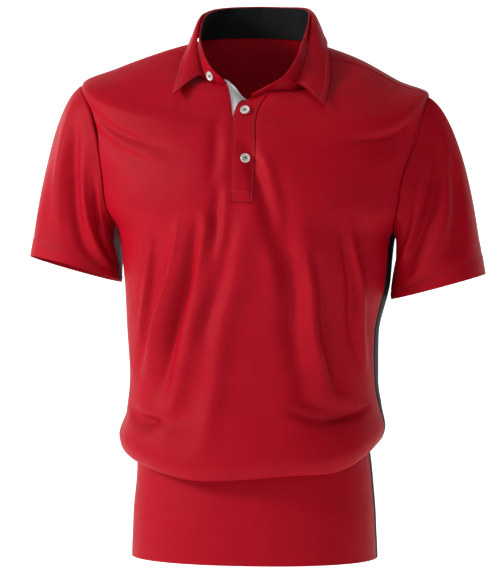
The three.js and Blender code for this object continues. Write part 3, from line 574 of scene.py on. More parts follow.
@dataclass(frozen=True)
class Fold:
    """A soft ridge or trough along a bent line of cloth.

    Attributes:
        at: What it is called.
        t0: Turn or share at its start.
        r0: Run or length at its start.
        t1: Turn that bends the line.
        r1: Run that bends the line.
        t2: Turn or share at its end.
        r2: Run or length at its end.
        half: Half width in millimetres at the start.
        height: Height in millimetres, negative for a trough.
        spread: Half width at the end as a multiple of the start's.
    """

    at: str
    t0: float
    r0: float
    t1: float
    r1: float
    t2: float
    r2: float
    half: float
    height: float
    spread: float = 1.0

    def lift(self, t: Array, r: Array, arc: float, length: float) -> Array:
        """A bell across the line's nearest point, which fades to nothing at both ends.

        Args:
            t: Turns or shares.
            r: Runs or shares of length.
            arc: Millimetres in one unit of t.
            length: Millimetres in one unit of r.

        Returns:
            The lift in millimetres.
        """
        s = np.linspace(0, 1, 15)
        a, b, c = (1 - s) ** 2, 2 * s * (1 - s), s**2
        px = (a * self.t0 + b * self.t1 + c * self.t2) * arc
        py = (a * self.r0 + b * self.r1 + c * self.r2) * length
        x, y = t * arc, r * length
        best = np.full(t.shape, np.inf)
        along = np.zeros(t.shape)
        for i in range(len(s) - 1):
            dx, dy = px[i + 1] - px[i], py[i + 1] - py[i]
            k = np.clip(((x - px[i]) * dx + (y - py[i]) * dy) / (dx * dx + dy * dy), 0, 1)
            away = np.hypot(x - px[i] - k * dx, y - py[i] - k * dy)
            along = np.where(away < best, s[i] + k * (s[i + 1] - s[i]), along)
            best = np.minimum(best, away)
        width = self.half * mix(1.0, self.spread, along)
        fade = np.maximum(np.sin(math.pi * (0.04 + 0.92 * along)), 0) ** 0.75
        return self.height * bump(best, width) * fade


def total_lift(folds: Sequence[Fold], t: Array, r: Array, arc: float, length: float) -> Array:
    """The sum of some folds' lifts."""
    total = np.zeros(t.shape)
    for fold in folds:
        total += fold.lift(t, r, arc, length)
    return total


@dataclass(frozen=True)
class Undulation:
    """Soft unevenness of hanging cloth: a few crossing waves with set directions.

    Attributes:
        seed: Picks the waves.
        waves: How many there are.
        longest: The longest wave in millimetres.
        shortest: The shortest wave in millimetres.
        height: The overall height in millimetres.
        stretch: How many times longer the waves are along the cloth than across it.
    """

    seed: int
    waves: int = 14
    longest: float = 150.0
    shortest: float = 36.0
    height: float = 0.7
    stretch: float = 1.8

    def lift(self, x: Array, y: Array) -> Array:
        """The sum of sine waves, each lower as it gets shorter.

        Args:
            x: Millimetres across the cloth.
            y: Millimetres along it.

        Returns:
            The lift in millimetres.
        """
        pick = np.random.default_rng(self.seed)
        total = np.zeros(np.broadcast(x, y).shape)
        for i in range(self.waves):
            size = self.longest * (self.shortest / self.longest) ** (i / max(self.waves - 1, 1))
            angle, phase = pick.uniform(0, math.pi), pick.uniform(0, 2 * math.pi)
            across, along = math.cos(angle), math.sin(angle) / self.stretch
            wave = np.sin(2 * math.pi * (x * across + y * along) / size + phase)
            total += wave * (size / self.longest) ** 0.8
        return total * self.height / math.sqrt(self.waves / 2)


# The form of the shirt.


@dataclass(frozen=True)
class Ring:
    """One ring of the body. Heights and sizes are in millimetres."""

    at: str
    run: float
    front_z: float
    side_z: float
    back_z: float
    half_width: float
    front: float
    back: float
    shift: float
    square: float
    drop: float


@dataclass(frozen=True)
class Edge:
    """Where a panel ends on a ring on each side, by its turn in degrees."""

    run: float
    right: float
    left: float


@dataclass(frozen=True)
class Lift:
    """How far the open neck stands up at a turn."""

    turn: float
    lift: float


@dataclass(frozen=True)
class Root:
    """The share of the stand's height at which the leaf is sewn to it, on each side."""

    turn: float
    right: float
    left: float


@dataclass(frozen=True)
class Sag:
    """A place of the front where the blouse hangs lower."""

    x: float
    half: float
    depth: float


@dataclass(frozen=True)
class Slot:
    """The edges of the front opening, as distances across in millimetres."""

    run: float
    right_edge: float
    lap_edge: float


@dataclass(frozen=True)
class Lean:
    """How much higher the shirt's own left is, as a share of the distance across."""

    z: float
    share: float


@dataclass(frozen=True)
class CollarRow:
    """Where a line of the collar lies on each side, by turn round the neckline."""

    turn: float
    right_x: float
    right_y: float
    right_z: float
    left_x: float
    left_y: float
    left_z: float


RINGS = (
    Ring("hem", 0, -706, -706, -706, 167, 113, 105, 0, 2.2, 1.5),
    Ring("tail", 60, -646, -646, -646, 165, 110, 103, 0, 2.2, 1.5),
    Ring("waist", 98, -607, -600, -604, 161, 106, 99, 0, 2.2, 1.5),
    Ring("tuck", 122, -584, -560, -568, 158, 103, 97, -2, 2.2, 1.8),
    Ring("underfold", 137, -591, -557, -569, 166, 114, 105, -3, 2.2, 2.0),
    Ring("blouse_low", 152, -592, -553, -564, 175, 126, 113, -3, 2.2, 2.0),
    Ring("blouse", 178, -571, -534, -544, 181, 136, 119, -3, 2.2, 1.9),
    Ring("blouse_top", 222, -530, -505, -508, 173, 130, 112, -1, 2.2, 1.6),
    Ring("low_waist", 280, -472, -466, -466, 169, 121, 105, -1, 2.2, 1.5),
    Ring("mid_waist", 350, -402, -400, -400, 172, 122, 104, -2, 2.2, 1.5),
    Ring("ribs", 420, -331, -330, -330, 181, 127, 110, 4, 2.2, 1.5),
    Ring("armpit", 480, -272, -272, -272, 188, 131, 117, 3, 2.2, 1.5),
    Ring("low_chest", 520, -238, -234, -232, 213, 131, 121, 1, 2.2, 1.5),
    Ring("chest", 560, -205, -193, -190, 222, 128, 124, 0, 2.2, 1.5),
    Ring("high_chest", 600, -177, -150, -150, 229, 122, 123, 0, 2.2, 1.5),
    Ring("blade", 640, -152, -103, -108, 235, 113, 117, 0, 2.25, 1.4),
    Ring("tip", 672, -134, -68, -74, 237, 105, 108, 0, 2.3, 1.3),
    Ring("shoulder", 702, -118, -45, -44, 190, 96, 98, 1, 2.35, 1.2),
    Ring("neck_root", 731, -105, -22, -17, 134, 86, 86, 3, 2.5, 1.05),
    Ring("neckline", 757, -98, -3, 7, 80, 74, 73, 3, 2.8, 0.8),
)
FRONT_EDGE = (
    Edge(0, 84.5, 84),
    Edge(200, 84.5, 84.5),
    Edge(262, 84.5, 81),
    Edge(330, 84.5, 77),
    Edge(490, 84.5, 77),
    Edge(502, 73, 70.5),
    Edge(520, 66, 66),
    Edge(560, 62, 65),
    Edge(600, 61.5, 68.5),
    Edge(640, 64, 74),
    Edge(660, 70, 79),
    Edge(672, 84, 84),
)
BACK_EDGE = (
    Edge(0, 107, 104),
    Edge(200, 107, 104),
    Edge(330, 107, 100),
    Edge(490, 107, 100),
    Edge(500, 110.5, 107.5),
    Edge(525, 114, 114),
    Edge(565, 114.5, 114.5),
    Edge(605, 111, 111),
    Edge(642, 104, 104),
    Edge(662, 95, 95),
    Edge(672, 84, 84),
)
SHOULDER_SEAM = (
    Edge(672, 84, 84),
    Edge(702, 88, 84),
    Edge(731, 91, 84),
    Edge(757, 91, 84),
)
OPENING = (
    Slot(0, -12, -12.5),
    Slot(640, -12.5, -13.5),
    Slot(684, -14, -15.5),
    Slot(704, -16, -14.5),
    Slot(728, -19, -10),
    Slot(744, -22.5, -4.5),
    Slot(757, -26.5, 3),
)
NECK_LIFT = (
    Lift(-85, 0),
    Lift(-60, 7),
    Lift(-40, 15),
    Lift(-25, 20),
    Lift(-13, 21.5),
    Lift(-7, 17),
    Lift(0, 4),
    Lift(3, 7),
    Lift(13, 15),
    Lift(23, 13),
    Lift(35, 8),
    Lift(65, 0),
)
SAGS = (Sag(128, 46, 13), Sag(-72, 50, 4))
LEAN = (Lean(-640, 0), Lean(-570, 0.04), Lean(-460, 0), Lean(-200, -0.04))
STAND_TOP = (
    CollarRow(1, 22, -86, -74, 7, -80, -88.7),
    CollarRow(13, 33.4, -84, -67.7, 32, -82, -75.4),
    CollarRow(20.5, 39, -82, -63.6, 41, -80, -69.9),
    CollarRow(32, 48, -76, -53.9, 53, -78, -59.9),
    CollarRow(44, 56, -66, -42.2, 60, -70, -47.6),
    CollarRow(56, 63.5, -52, -27.5, 66, -58, -33.4),
    CollarRow(66, 68, -40, -16.7, 69, -43, -17.3),
    CollarRow(76, 71.5, -28, -5, 73, -28, -0.6),
    CollarRow(88, 72.5, -10, 12, 75.5, -10, 17.4),
    CollarRow(102, 70, 12, 28, 75, 12, 32.9),
    CollarRow(122, 62, 37, 38, 67, 37, 42.5),
    CollarRow(150, 39, 58, 45.4, 43, 58, 47.2),
    CollarRow(180, -2, 66, 48, 2, 66, 48),
)
LEAF_ROOT = (
    Root(39, 0.12, 0.25),
    Root(44, 0.2, 0.3),
    Root(56, 0.5, 0.49),
    Root(66, 0.67, 0.62),
    Root(76, 0.8, 0.74),
    Root(90, 0.93, 0.9),
    Root(108, 1, 1),
    Root(180, 1, 1),
)
LEAF_EDGE = (
    CollarRow(40, 96, -96, -92.5, 104, -90, -99),
    CollarRow(44, 96, -94, -92, 104, -88, -98),
    CollarRow(56, 97, -68, -73, 108, -60, -69),
    CollarRow(66, 94, -45, -46, 107, -42, -44),
    CollarRow(78, 89, -20, -20, 102, -20, -18),
    CollarRow(95, 86, 6, -4, 99, 6, -5),
    CollarRow(122, 76, 50, 0, 84, 50, 0),
    CollarRow(150, 47, 76, 4, 53, 76, 4),
    CollarRow(180, -3, 86, 5, 3, 86, 5),
)

BODY_FOLDS = (
    Fold("beside_placket_trough", -3, 516, -9, 425, -15, 345, 11, -8),
    Fold("beside_placket_ridge", 1, 505, -6, 352, -14, 205, 13, 7),
    Fold("second_ridge", -9, 480, -19, 350, -34, 225, 13, 8),
    Fold("second_trough", -14, 470, -25, 362, -41, 260, 13, -7),
    Fold("third_ridge", -20, 490, -34, 375, -50, 290, 13, 7),
    Fold("side_trough", -38, 480, -44, 390, -57, 300, 12, -6),
    Fold("hip_crease", -66, 232, -52, 214, -36, 230, 10, -8),
    Fold("button_ridge", 5, 560, 9, 465, 15, 370, 12, 5),
    Fold("button_trough", 8, 572, 14, 452, 27, 262, 13, -10),
    Fold("wide_ridge", 21, 490, 28, 360, 40, 250, 18, 5),
    Fold("far_trough", 31, 440, 38, 352, 47, 262, 13, -6),
    Fold("hem_hollow", 28, 258, 43, 228, 60, 236, 13, -8),
    Fold("far_side_ridge", 46, 478, 53, 380, 66, 300, 12, 8),
    Fold("chest_pull_right", -70, 640, -52, 610, -30, 590, 16, -4),
    Fold("chest_pull_left", 70, 640, 50, 622, 26, 620, 16, -4),
    Fold("back_middle_trough", 178, 520, 176, 400, 172, 262, 17, -8),
    Fold("back_right_ridge", -162, 500, -158, 380, -150, 225, 15, 7),
    Fold("back_right_trough", -148, 510, -144, 400, -134, 270, 14, -7),
    Fold("back_left_ridge", 160, 510, 155, 380, 150, 215, 15, 7),
    Fold("back_left_trough", 144, 480, 141, 380, 130, 255, 14, -7),
    Fold("back_hip_right", -140, 236, -128, 222, -114, 240, 12, -7),
    Fold("back_hip_left", 162, 228, 140, 218, 118, 236, 12, -7),
    Fold("blade_pull_right", -122, 600, -140, 560, -158, 540, 17, -5),
    Fold("blade_pull_left", 122, 590, 138, 560, 156, 548, 17, -5),
)
FINE_BODY_FOLDS = (
    Fold("placket_edge_crease", -7, 700, -6, 620, -9, 545, 4.5, -1.6, 1.4),
    Fold("placket_crease", 1, 640, 5, 560, 10, 462, 6, -3.4, 1.5),
    Fold("placket_crease_edge", 4, 620, 9, 552, 15, 452, 6, 2.4, 1.4),
    Fold("foot_crease", -6, 552, -8, 500, -12, 440, 5, -2.6, 1.5),
    Fold("lap_pucker", -4, 535, -7, 470, -11, 400, 5, 2.2, 1.5),
    Fold("first_crest", -12, 505, -18, 420, -30, 300, 6, 2.6, 1.4),
    Fold("first_hollow", -16, 495, -23, 408, -36, 292, 6, -2.8, 1.4),
    Fold("second_crest", -24, 498, -34, 410, -48, 320, 6, 2.4, 1.3),
    Fold("second_hollow", -29, 470, -39, 396, -52, 318, 6, -2.4, 1.3),
    Fold("outer_crest", -41, 470, -47, 412, -55, 340, 6, 2.2, 1.2),
    Fold("far_crest", 24, 452, 29, 370, 38, 280, 6, 2.4, 1.3),
    Fold("far_hollow", 28, 448, 35, 362, 45, 270, 5.5, -2.4, 1.3),
    Fold("side_crest", 43, 500, 51, 402, 64, 315, 6, 2.4, 1.3),
    Fold("side_hollow", 40, 492, 47, 396, 60, 308, 6, -2.6, 1.3),
    Fold("blouse_fold_right", -60, 236, -46, 222, -26, 236, 6, -2.6),
    Fold("blouse_fold_left", 20, 246, 40, 216, 68, 232, 6.5, -3.4),
    Fold("shoulder_pull_right", -66, 655, -46, 628, -24, 616, 8, -1.6),
    Fold("shoulder_ease_right", -62, 636, -44, 606, -26, 592, 8, 1.4),
    Fold("shoulder_pull_left", 66, 655, 48, 632, 30, 636, 8, -1.8),
    Fold("back_crest_right", -158, 470, -152, 370, -142, 262, 7, -2.6, 1.3),
    Fold("back_crest_middle", 172, 500, 168, 385, 160, 260, 7, 2.4, 1.3),
    Fold("back_crest_left", 150, 470, 144, 370, 136, 262, 7, -2.4, 1.3),
)
SLEEVE_FOLDS = {
    Side.RIGHT: (
        Fold("cap_ridge", 0.05, 0.18, 0.13, 0.5, 0.2, 0.78, 11, 5),
        Fold("cap_trough", 0.1, 0.16, 0.21, 0.46, 0.33, 0.86, 12, -8),
        Fold("inner_ridge", 0.2, 0.24, 0.29, 0.5, 0.4, 0.84, 11, 6),
        Fold("inner_trough", 0.27, 0.14, 0.35, 0.4, 0.44, 0.76, 11, -7),
        Fold("back_trough", 0.88, 0.18, 0.8, 0.45, 0.69, 0.84, 13, -7),
        Fold("back_ridge", 0.81, 0.2, 0.72, 0.46, 0.62, 0.8, 11, 6),
    ),
    Side.LEFT: (
        Fold("cap_trough", 0.08, 0.2, 0.19, 0.42, 0.33, 0.66, 12, -9),
        Fold("cap_ridge", 0.15, 0.18, 0.25, 0.36, 0.38, 0.56, 11, 5),
        Fold("mid_ridge", 0.13, 0.5, 0.22, 0.7, 0.34, 0.86, 11, 6),
        Fold("outer_trough", 0.06, 0.36, 0.1, 0.6, 0.2, 0.88, 12, -6),
        Fold("back_trough", 0.9, 0.2, 0.8, 0.5, 0.68, 0.82, 13, -8),
        Fold("back_ridge", 0.83, 0.22, 0.72, 0.5, 0.62, 0.76, 11, 6),
    ),
}


@dataclass
class BodyForm:
    """The form that all the body's cloth lies on.

    Attributes:
        drop_softness: How softly the front's drop begins at the side.
        back_rise_starts: The turn at which the back begins to rise, in degrees.
        dip_x: Where the left shoulder dips, in millimetres across.
        dip_half: Half width of that dip.
        dip_depth: Depth of that dip.
        seam_turn: Half the gap at a seam, in degrees.
        fold_arc: Cloth in one degree of turn, in millimetres.
        tip_run: Run at the shoulder tip.
        armpit_run: Run at the armpit.
        neck_run: Run at the neckline.
        hem_depth: Depth of the body hem.
        placket_width: Width of both plackets.
        placket_lap: How far the plackets lap over the front.
        placket_foot: Run at the foot of the opening.
        placket_box: Height of the stitched box under the opening.
        placket_sink: How far the front sinks under the outer placket.
        sink_from_x: Where across the front it begins to sink.
        sink_rise: Distance over which it sinks there.
        sink_fall: Distance over which it comes up again, past the sewn edge.
        sink_foot: Distance over which it sinks at the placket's foot.
        fine_share: Strength of the fine folds.
        lift_span: Run below the neckline over which the open neck lifts.
        sag_top_z: Height at which the blouse begins to sag.
        sag_full_z: Height at which it sags fully.
        sag_low_z: Height at which the sag begins to end.
        sag_end_z: Height at which it has ended.
        sag_front: Depth over which the sag fades towards the sides.
    """

    drop_softness: float = 0.15
    back_rise_starts: float = 75
    dip_x: float = 202
    dip_half: float = 42
    dip_depth: float = 7
    dip_start_z: float = -190
    dip_full_z: float = -110
    seam_turn: float = 0.04
    fold_arc: float = 2.7
    tip_run: float = 672
    armpit_run: float = 490
    neck_run: float = 757
    hem_depth: float = 25
    hem_puff: float = 0.5
    placket_width: float = 30
    placket_lap: float = 1.5
    placket_foot: float = 542
    placket_box: float = 15
    placket_sink: float = 1.3
    sink_from_x: float = -22
    sink_rise: float = 8
    sink_fall: float = 2.0
    sink_foot: float = 3
    fine_share: float = 2.3
    lift_span: float = 62
    sag_top_z: float = -500
    sag_full_z: float = -556
    sag_low_z: float = -600
    sag_end_z: float = -650
    sag_front: float = 60
    waves: Undulation = field(default_factory=lambda: Undulation(seed=11))

    def __post_init__(self) -> None:
        """Turns the tables into curves."""
        names = [f.name for f in fields(Ring) if f.name not in ("at", "run")]
        self.ring = {name: table_curve(RINGS, "run", name) for name in names}
        self.edges = {
            (part, side): table_curve(rows, "run", side.name.lower())
            for part, rows in (("front", FRONT_EDGE), ("back", BACK_EDGE), ("shoulder", SHOULDER_SEAM))
            for side in Side
        }
        self.neck_lift = table_curve(NECK_LIFT, "turn", "lift")
        self.right_edge = table_curve(OPENING, "run", "right_edge")
        self.lap_edge = table_curve(OPENING, "run", "lap_edge")
        self.lean_share = table_curve(LEAN, "z", "share")

    def lean(self, point: Array) -> Array:
        """The worn shirt's lean, and the dip of its left shoulder.

        Args:
            point: Points with no lean.

        Returns:
            The points, moved up or down.
        """
        x, z = point[..., 0], point[..., 2]
        high = smooth((z - self.dip_start_z) / (self.dip_full_z - self.dip_start_z))
        dip = self.dip_depth * high * bump(x - self.dip_x, self.dip_half)
        return point + (self.lean_share(z) * x - dip)[..., None] * UP

    def base(self, turn: Array, run: Array) -> Array:
        """A squared oval ring that is lower at the front, with no folds.

        x is the half width times the sine of the turn to a power, y the depth times its cosine to
        the same power, and z drops towards the front with a soft step of that cosine.

        Args:
            turn: Degrees round from the middle of the front.
            run: Millimetres up from the hem.

        Returns:
            Points in millimetres.
        """
        turn, run = np.broadcast_arrays(np.asarray(turn, float), np.asarray(run, float))
        angle = np.abs(turn)
        sine = np.maximum(np.sin(np.radians(angle)), 0)
        cosine = np.cos(np.radians(angle))
        power = 2 / self.ring["square"](run)
        forward = np.sign(cosine) * np.abs(cosine) ** power
        depth = np.where(forward > 0, self.ring["front"](run), self.ring["back"](run))
        side = self.ring["side_z"](run)
        soft = self.drop_softness
        step = (forward + np.hypot(forward, soft)) / (1 + math.hypot(1, soft))
        drop = step ** self.ring["drop"](run)
        rise = smooth((angle - self.back_rise_starts) / (180 - self.back_rise_starts))
        x = self.ring["shift"](run) + np.sign(turn) * self.ring["half_width"](run) * sine**power
        y = -depth * forward
        z = side + (self.ring["front_z"](run) - side) * drop + (self.ring["back_z"](run) - side) * rise
        z = z + self.neck_lift(turn) * smooth((run - self.neck_run) / self.lift_span + 1)
        return self.lean(np.stack([x, y, z - self.sag(x, y, z)], -1))

    def sag(self, x: Array, y: Array, z: Array) -> Array:
        """How far the blouse sags: only at its front, and only over its own height.

        Args:
            x: Millimetres across.
            y: Millimetres to the back.
            z: Height in millimetres.

        Returns:
            Millimetres down.
        """
        reach = smooth((self.sag_top_z - z) / (self.sag_top_z - self.sag_full_z))
        reach = reach * (1 - smooth((self.sag_low_z - z) / (self.sag_low_z - self.sag_end_z)))
        deep = sum(row.depth * bump(x - row.x, row.half) for row in SAGS)
        return deep * reach * smooth(-y / self.sag_front)

    def facing(self, turn: Array, run: Array) -> Array:
        """The outward direction of the form without folds."""
        return outward(self.base, turn, np.clip(run, 1.5, self.neck_run - 1.5), 0.4, 1.5)

    def fold_share(self, run: Array) -> Array:
        """How much of the folds shows at a run: none in the tucked tail or at the neckline."""
        return smooth((run - 130) / 50) * (1 - smooth((run - 690) / 40))

    def folds(self, turn: Array, run: Array) -> Array:
        """The lift of the folds and of the cloth's own unevenness.

        Args:
            turn: Degrees round.
            run: Millimetres up.

        Returns:
            The lift in millimetres.
        """
        coarse = total_lift(BODY_FOLDS, turn, run, self.fold_arc, 1)
        fine = self.fine_share * total_lift(FINE_BODY_FOLDS, turn, run, self.fold_arc, 1)
        uneven = self.waves.lift(turn * self.fold_arc, run)
        return (coarse + fine + uneven) * self.fold_share(run)

    def cloth(self, turn: Array, run: Array, lift: Array = 0.0) -> Array:
        """A point of the folded cloth, moved out by lift.

        Args:
            turn: Degrees round, up to 360.
            run: Millimetres up from the hem.
            lift: Millimetres outwards.

        Returns:
            Points in millimetres.
        """
        turn = np.where(turn > 180, turn - 360, turn)
        out = (self.folds(turn, run) + lift)[..., None]
        return self.base(turn, run) + out * self.facing(turn, run)

    def end(self, part: str, side: Side, run: Array) -> Array:
        """The turn at which a panel ends: its side seam, its armhole, then the shoulder seam.

        Args:
            part: "front" or "back".
            side: Which side.
            run: Millimetres up.

        Returns:
            Degrees of turn, without their sign.
        """
        below = self.edges[part, side](run)
        return np.where(run < self.tip_run, below, self.edges["shoulder", side](run))

    def turn_at(self, x: Array, run: Array) -> Array:
        """The turn at which a ring is this far across.

        Args:
            x: Millimetres across.
            run: The ring's run.

        Returns:
            Degrees of turn.
        """
        across = x - self.ring["shift"](run)
        share = np.minimum(1, np.abs(across) / self.ring["half_width"](run))
        return np.sign(across) * np.degrees(np.arcsin(share ** (self.ring["square"](run) / 2)))

    def under_placket(self, turn: Array, run: Array) -> Array:
        """The front sinks under the outer placket, so that its sewn edge lies flush.

        Args:
            turn: Degrees round.
            run: Millimetres up.

        Returns:
            The lift in millimetres.
        """
        across = self.ring["shift"](run) + self.ring["half_width"](run) * np.sign(turn) * np.abs(
            np.sin(np.radians(turn))
        ) ** (2 / self.ring["square"](run))
        sewn = self.lap_edge(run) + self.placket_width
        beside = smooth((across - self.sink_from_x) / self.sink_rise)
        beside = beside * (1 - smooth((across - sewn) / self.sink_fall))
        above = run - self.placket_foot + self.placket_box + self.sink_foot
        return -self.placket_sink * beside * smooth(above / self.sink_foot)

    def seam_dip(self, away: Array) -> Array:
        """The cloth sinks a little towards a seam and puffs just beside it.

        Args:
            away: Degrees of turn from the seam.

        Returns:
            The lift in millimetres.
        """
        far = np.abs(away) * self.fold_arc
        return -0.8 * bump(far, 1.6) + 0.25 * bump(far - 5, 3)

    def hem(self, run: Array) -> Array:
        """The hem is two layers thick, with a shallow groove at its stitching."""
        near = self.hem_puff * (1 - smooth((run - self.hem_depth) / 4))
        return near - 0.35 * bump(run - self.hem_depth + 1.5, 1.6)


# Pieces.


def dress(
    made: bpy.types.Object,
    finish: bpy.types.Material,
    node: Optional[str] = None,
) -> bpy.types.Object:
    """Gives a piece its finish and its body, and hides the solid that it stands for.

    Args:
        made: The piece.
        finish: Its material.
        node: The solid that it replaces, or None.

    Returns:
        The piece.
    """
    made.data.materials.clear()
    made.data.materials.append(finish)
    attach(made, BODY)
    if node:
        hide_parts(node)
    half = sum(face.area for face in made.data.polygons) / 2
    log.info("%s: %d faces, %.4f square metres of cloth", made.name, len(made.data.polygons), half)
    return made


@dataclass
class Stitching:
    """Rows of lockstitch: short spindles of thread that lie on the cloth.

    Attributes:
        pitch: Distance from stitch to stitch, in millimetres.
        length: Length of a stitch.
        radius: Half the thread's thickness.
    """

    pitch: float = 2.5
    length: float = 1.9
    radius: float = 0.26

    def build(self, name: str, lines: Sequence[tuple[Array, Array]]) -> bpy.types.Object:
        """Each stitch is a square-sided spindle between two points of its line.

        Args:
            name: The piece's name.
            lines: Pairs of points along a line and the cloth's outward directions there.

        Returns:
            One mesh with all the stitches.
        """
        points, faces = [], []
        for path, out in lines:
            gone = np.concatenate([[0], np.cumsum(np.linalg.norm(np.diff(path, axis=0), axis=1))])
            at = np.arange(self.pitch / 2, gone[-1] - self.pitch / 2, self.pitch)
            centre = np.stack([np.interp(at, gone, path[:, i]) for i in range(3)], -1)
            ahead = np.stack([np.interp(at + 0.3, gone, path[:, i]) for i in range(3)], -1)
            up = unit(np.stack([np.interp(at, gone, out[:, i]) for i in range(3)], -1))
            along = unit(ahead - centre)
            aside = np.cross(along, up)
            reach = np.array([-0.5, -0.3, 0.3, 0.5]) * self.length
            girth = np.array([0.35, 1, 1, 0.35]) * self.radius
            sink = np.array([-0.25, 0.1, 0.1, -0.25])
            corner = np.array([[1, 0], [0, 1], [-1, 0], [0, -1]])
            ring = (
                centre[:, None, None]
                + along[:, None, None] * reach[None, :, None, None]
                + up[:, None, None] * sink[None, :, None, None]
                + aside[:, None, None] * (girth[:, None] * corner[None, :, 0])[None, :, :, None]
                + up[:, None, None] * (girth[:, None] * corner[None, :, 1])[None, :, :, None]
            )
            start = sum(len(p) for p in points)
            points.append(ring.reshape(-1, 3))
            k = np.arange(len(at))[:, None] * 16 + start
            j = np.arange(4)
            for band in range(3):
                low, high = k + band * 4 + j, k + band * 4 + 4 + j
                four = (low, low - j + (j + 1) % 4, high - j + (j + 1) % 4, high)
                faces.append(np.stack(four, -1).reshape(-1, 4))
            faces.append(np.stack([k[:, 0] + i for i in (3, 2, 1, 0)], -1))
            faces.append(np.stack([k[:, 0] + 12 + i for i in (0, 1, 2, 3)], -1))
        return new_object(name, np.concatenate(points), np.concatenate(faces).tolist())


@dataclass
class Panels:
    """The front, the back and the two side panels.

    Attributes:
        form: The body's form.
        wall: Thickness of the cloth in millimetres.
        front_right_steps: Columns right of the opening.
        front_left_steps: Columns left of the opening.
        opening_steps: Columns across the opening.
        back_steps: Columns of the back.
        side_steps: Columns of a side panel.
        run_steps: Rows up the body.
    """

    form: BodyForm
    wall: float = 1.2
    front_right_steps: int = 92
    front_left_steps: int = 88
    opening_steps: int = 10
    back_steps: int = 150
    side_steps: int = 22
    run_steps: int = 205

    def runs(self, top: float) -> Array:
        """Rows from the hem up, closer at the hem, and exact at the armpit, foot and tip.

        Args:
            top: The last run.

        Returns:
            The rising runs.
        """
        form = self.form
        even = np.linspace(0, form.neck_run, self.run_steps + 1)
        fixed = [form.armpit_run, form.placket_foot, form.tip_run, form.hem_depth, top]
        near_top = [top - 0.6, top - 1.4] if top == form.neck_run else []
        rows = np.unique(np.concatenate([even, fixed, near_top]))
        return rows[rows <= top]

    def front_turns(self, run: Array) -> tuple[Array, int, int]:
        """The columns of the front on each row, either side of the opening.

        Args:
            run: The runs of the rows.

        Returns:
            The turns, and the columns at which the opening starts and ends.
        """
        form = self.form
        right_seam = form.seam_turn - form.end("front", Side.RIGHT, run)[:, None]
        left_seam = form.end("front", Side.LEFT, run)[:, None] - form.seam_turn
        right, left = form.right_edge(run), form.lap_edge(run) + form.placket_width - form.placket_lap
        a = shares(self.front_right_steps, near_start=True)[None]
        b = shares(self.front_left_steps, near_end=True)[None]
        c = np.linspace(0, 1, self.opening_steps + 1)[None, 1:-1]
        turns = np.concatenate(
            [
                mix(right_seam, form.turn_at(right, run)[:, None], a),
                form.turn_at(mix(right[:, None], left[:, None], c), run[:, None]),
                mix(form.turn_at(left, run)[:, None], left_seam, b),
            ],
            axis=1,
        )
        return turns, a.shape[1] - 1, a.shape[1] - 1 + self.opening_steps

    def front(self, finish: bpy.types.Material) -> bpy.types.Object:
        """One piece, split by the opening down to its foot.

        Args:
            finish: The cloth.

        Returns:
            The piece.
        """
        form = self.form
        run = self.runs(form.neck_run)
        turns, first, last = self.front_turns(run)
        grid = np.broadcast_to(run[:, None], turns.shape)

        def surface(t: Array, r: Array) -> Array:
            """The cloth with its seam dips and hem."""
            end = np.where(t < 0, form.end("front", Side.RIGHT, r), form.end("front", Side.LEFT, r))
            dip = form.seam_dip(end - np.abs(t)) * smooth((r - 20) / 20)
            return form.cloth(t, r, dip + form.hem(r) + form.under_placket(t, r))

        present = np.ones((len(run) - 1, turns.shape[1] - 1), bool)
        present[run[:-1] >= form.placket_foot - 1e-6, first:last] = False
        made = shell_of(surface, turns, grid, self.wall, (0.3, 1.0), present).build("front_cloth")
        dress(made, finish, "front")
        return made

    def back(self, finish: bpy.types.Material) -> bpy.types.Object:
        """One piece over both shoulders to the forward shoulder seams.

        Args:
            finish: The cloth.

        Returns:
            The piece.
        """
        form = self.form
        run = self.runs(form.neck_run)
        start = form.end("back", Side.LEFT, run)[:, None] + form.seam_turn
        end = 360 - form.end("back", Side.RIGHT, run)[:, None] - form.seam_turn
        turns = mix(start, end, shares(self.back_steps, near_start=True, near_end=True)[None])
        grid = np.broadcast_to(run[:, None], turns.shape)

        def surface(t: Array, r: Array) -> Array:
            """The cloth with its seam dips and hem."""
            left = t - form.end("back", Side.LEFT, r)
            away = np.minimum(left, 360 - form.end("back", Side.RIGHT, r) - t)
            return form.cloth(t, r, form.seam_dip(away) * smooth((r - 20) / 20) + form.hem(r))

        made = shell_of(surface, turns, grid, self.wall, (0.3, 1.0)).build("back_cloth")
        dress(made, finish, "back")
        return made

    def side(self, side: Side, finish: bpy.types.Material) -> bpy.types.Object:
        """A narrow strip from the hem to the armpit.

        Args:
            side: Which side.
            finish: The cloth.

        Returns:
            The piece.
        """
        form = self.form
        run = self.runs(form.armpit_run)
        start = form.end("front", side, run)[:, None] + form.seam_turn
        end = form.end("back", side, run)[:, None] - form.seam_turn
        share = shares(self.side_steps, near_start=True, near_end=True)[None]
        turns = mix(start, end, share if side is Side.LEFT else 1 - share) * side.value
        grid = np.broadcast_to(run[:, None], turns.shape)

        def surface(t: Array, r: Array) -> Array:
            """The cloth with its seam dips and hem."""
            near = np.abs(t) - form.end("front", side, r)
            away = np.minimum(near, form.end("back", side, r) - np.abs(t))
            return form.cloth(t, r, form.seam_dip(away) * smooth((r - 20) / 20) + form.hem(r))

        name = f"side_cloth_{side.name.lower()}"
        made = shell_of(surface, turns, grid, self.wall, (0.3, 1.0)).build(name)
        dress(made, finish, f"side_panel_{side.name.lower()}")
        return made


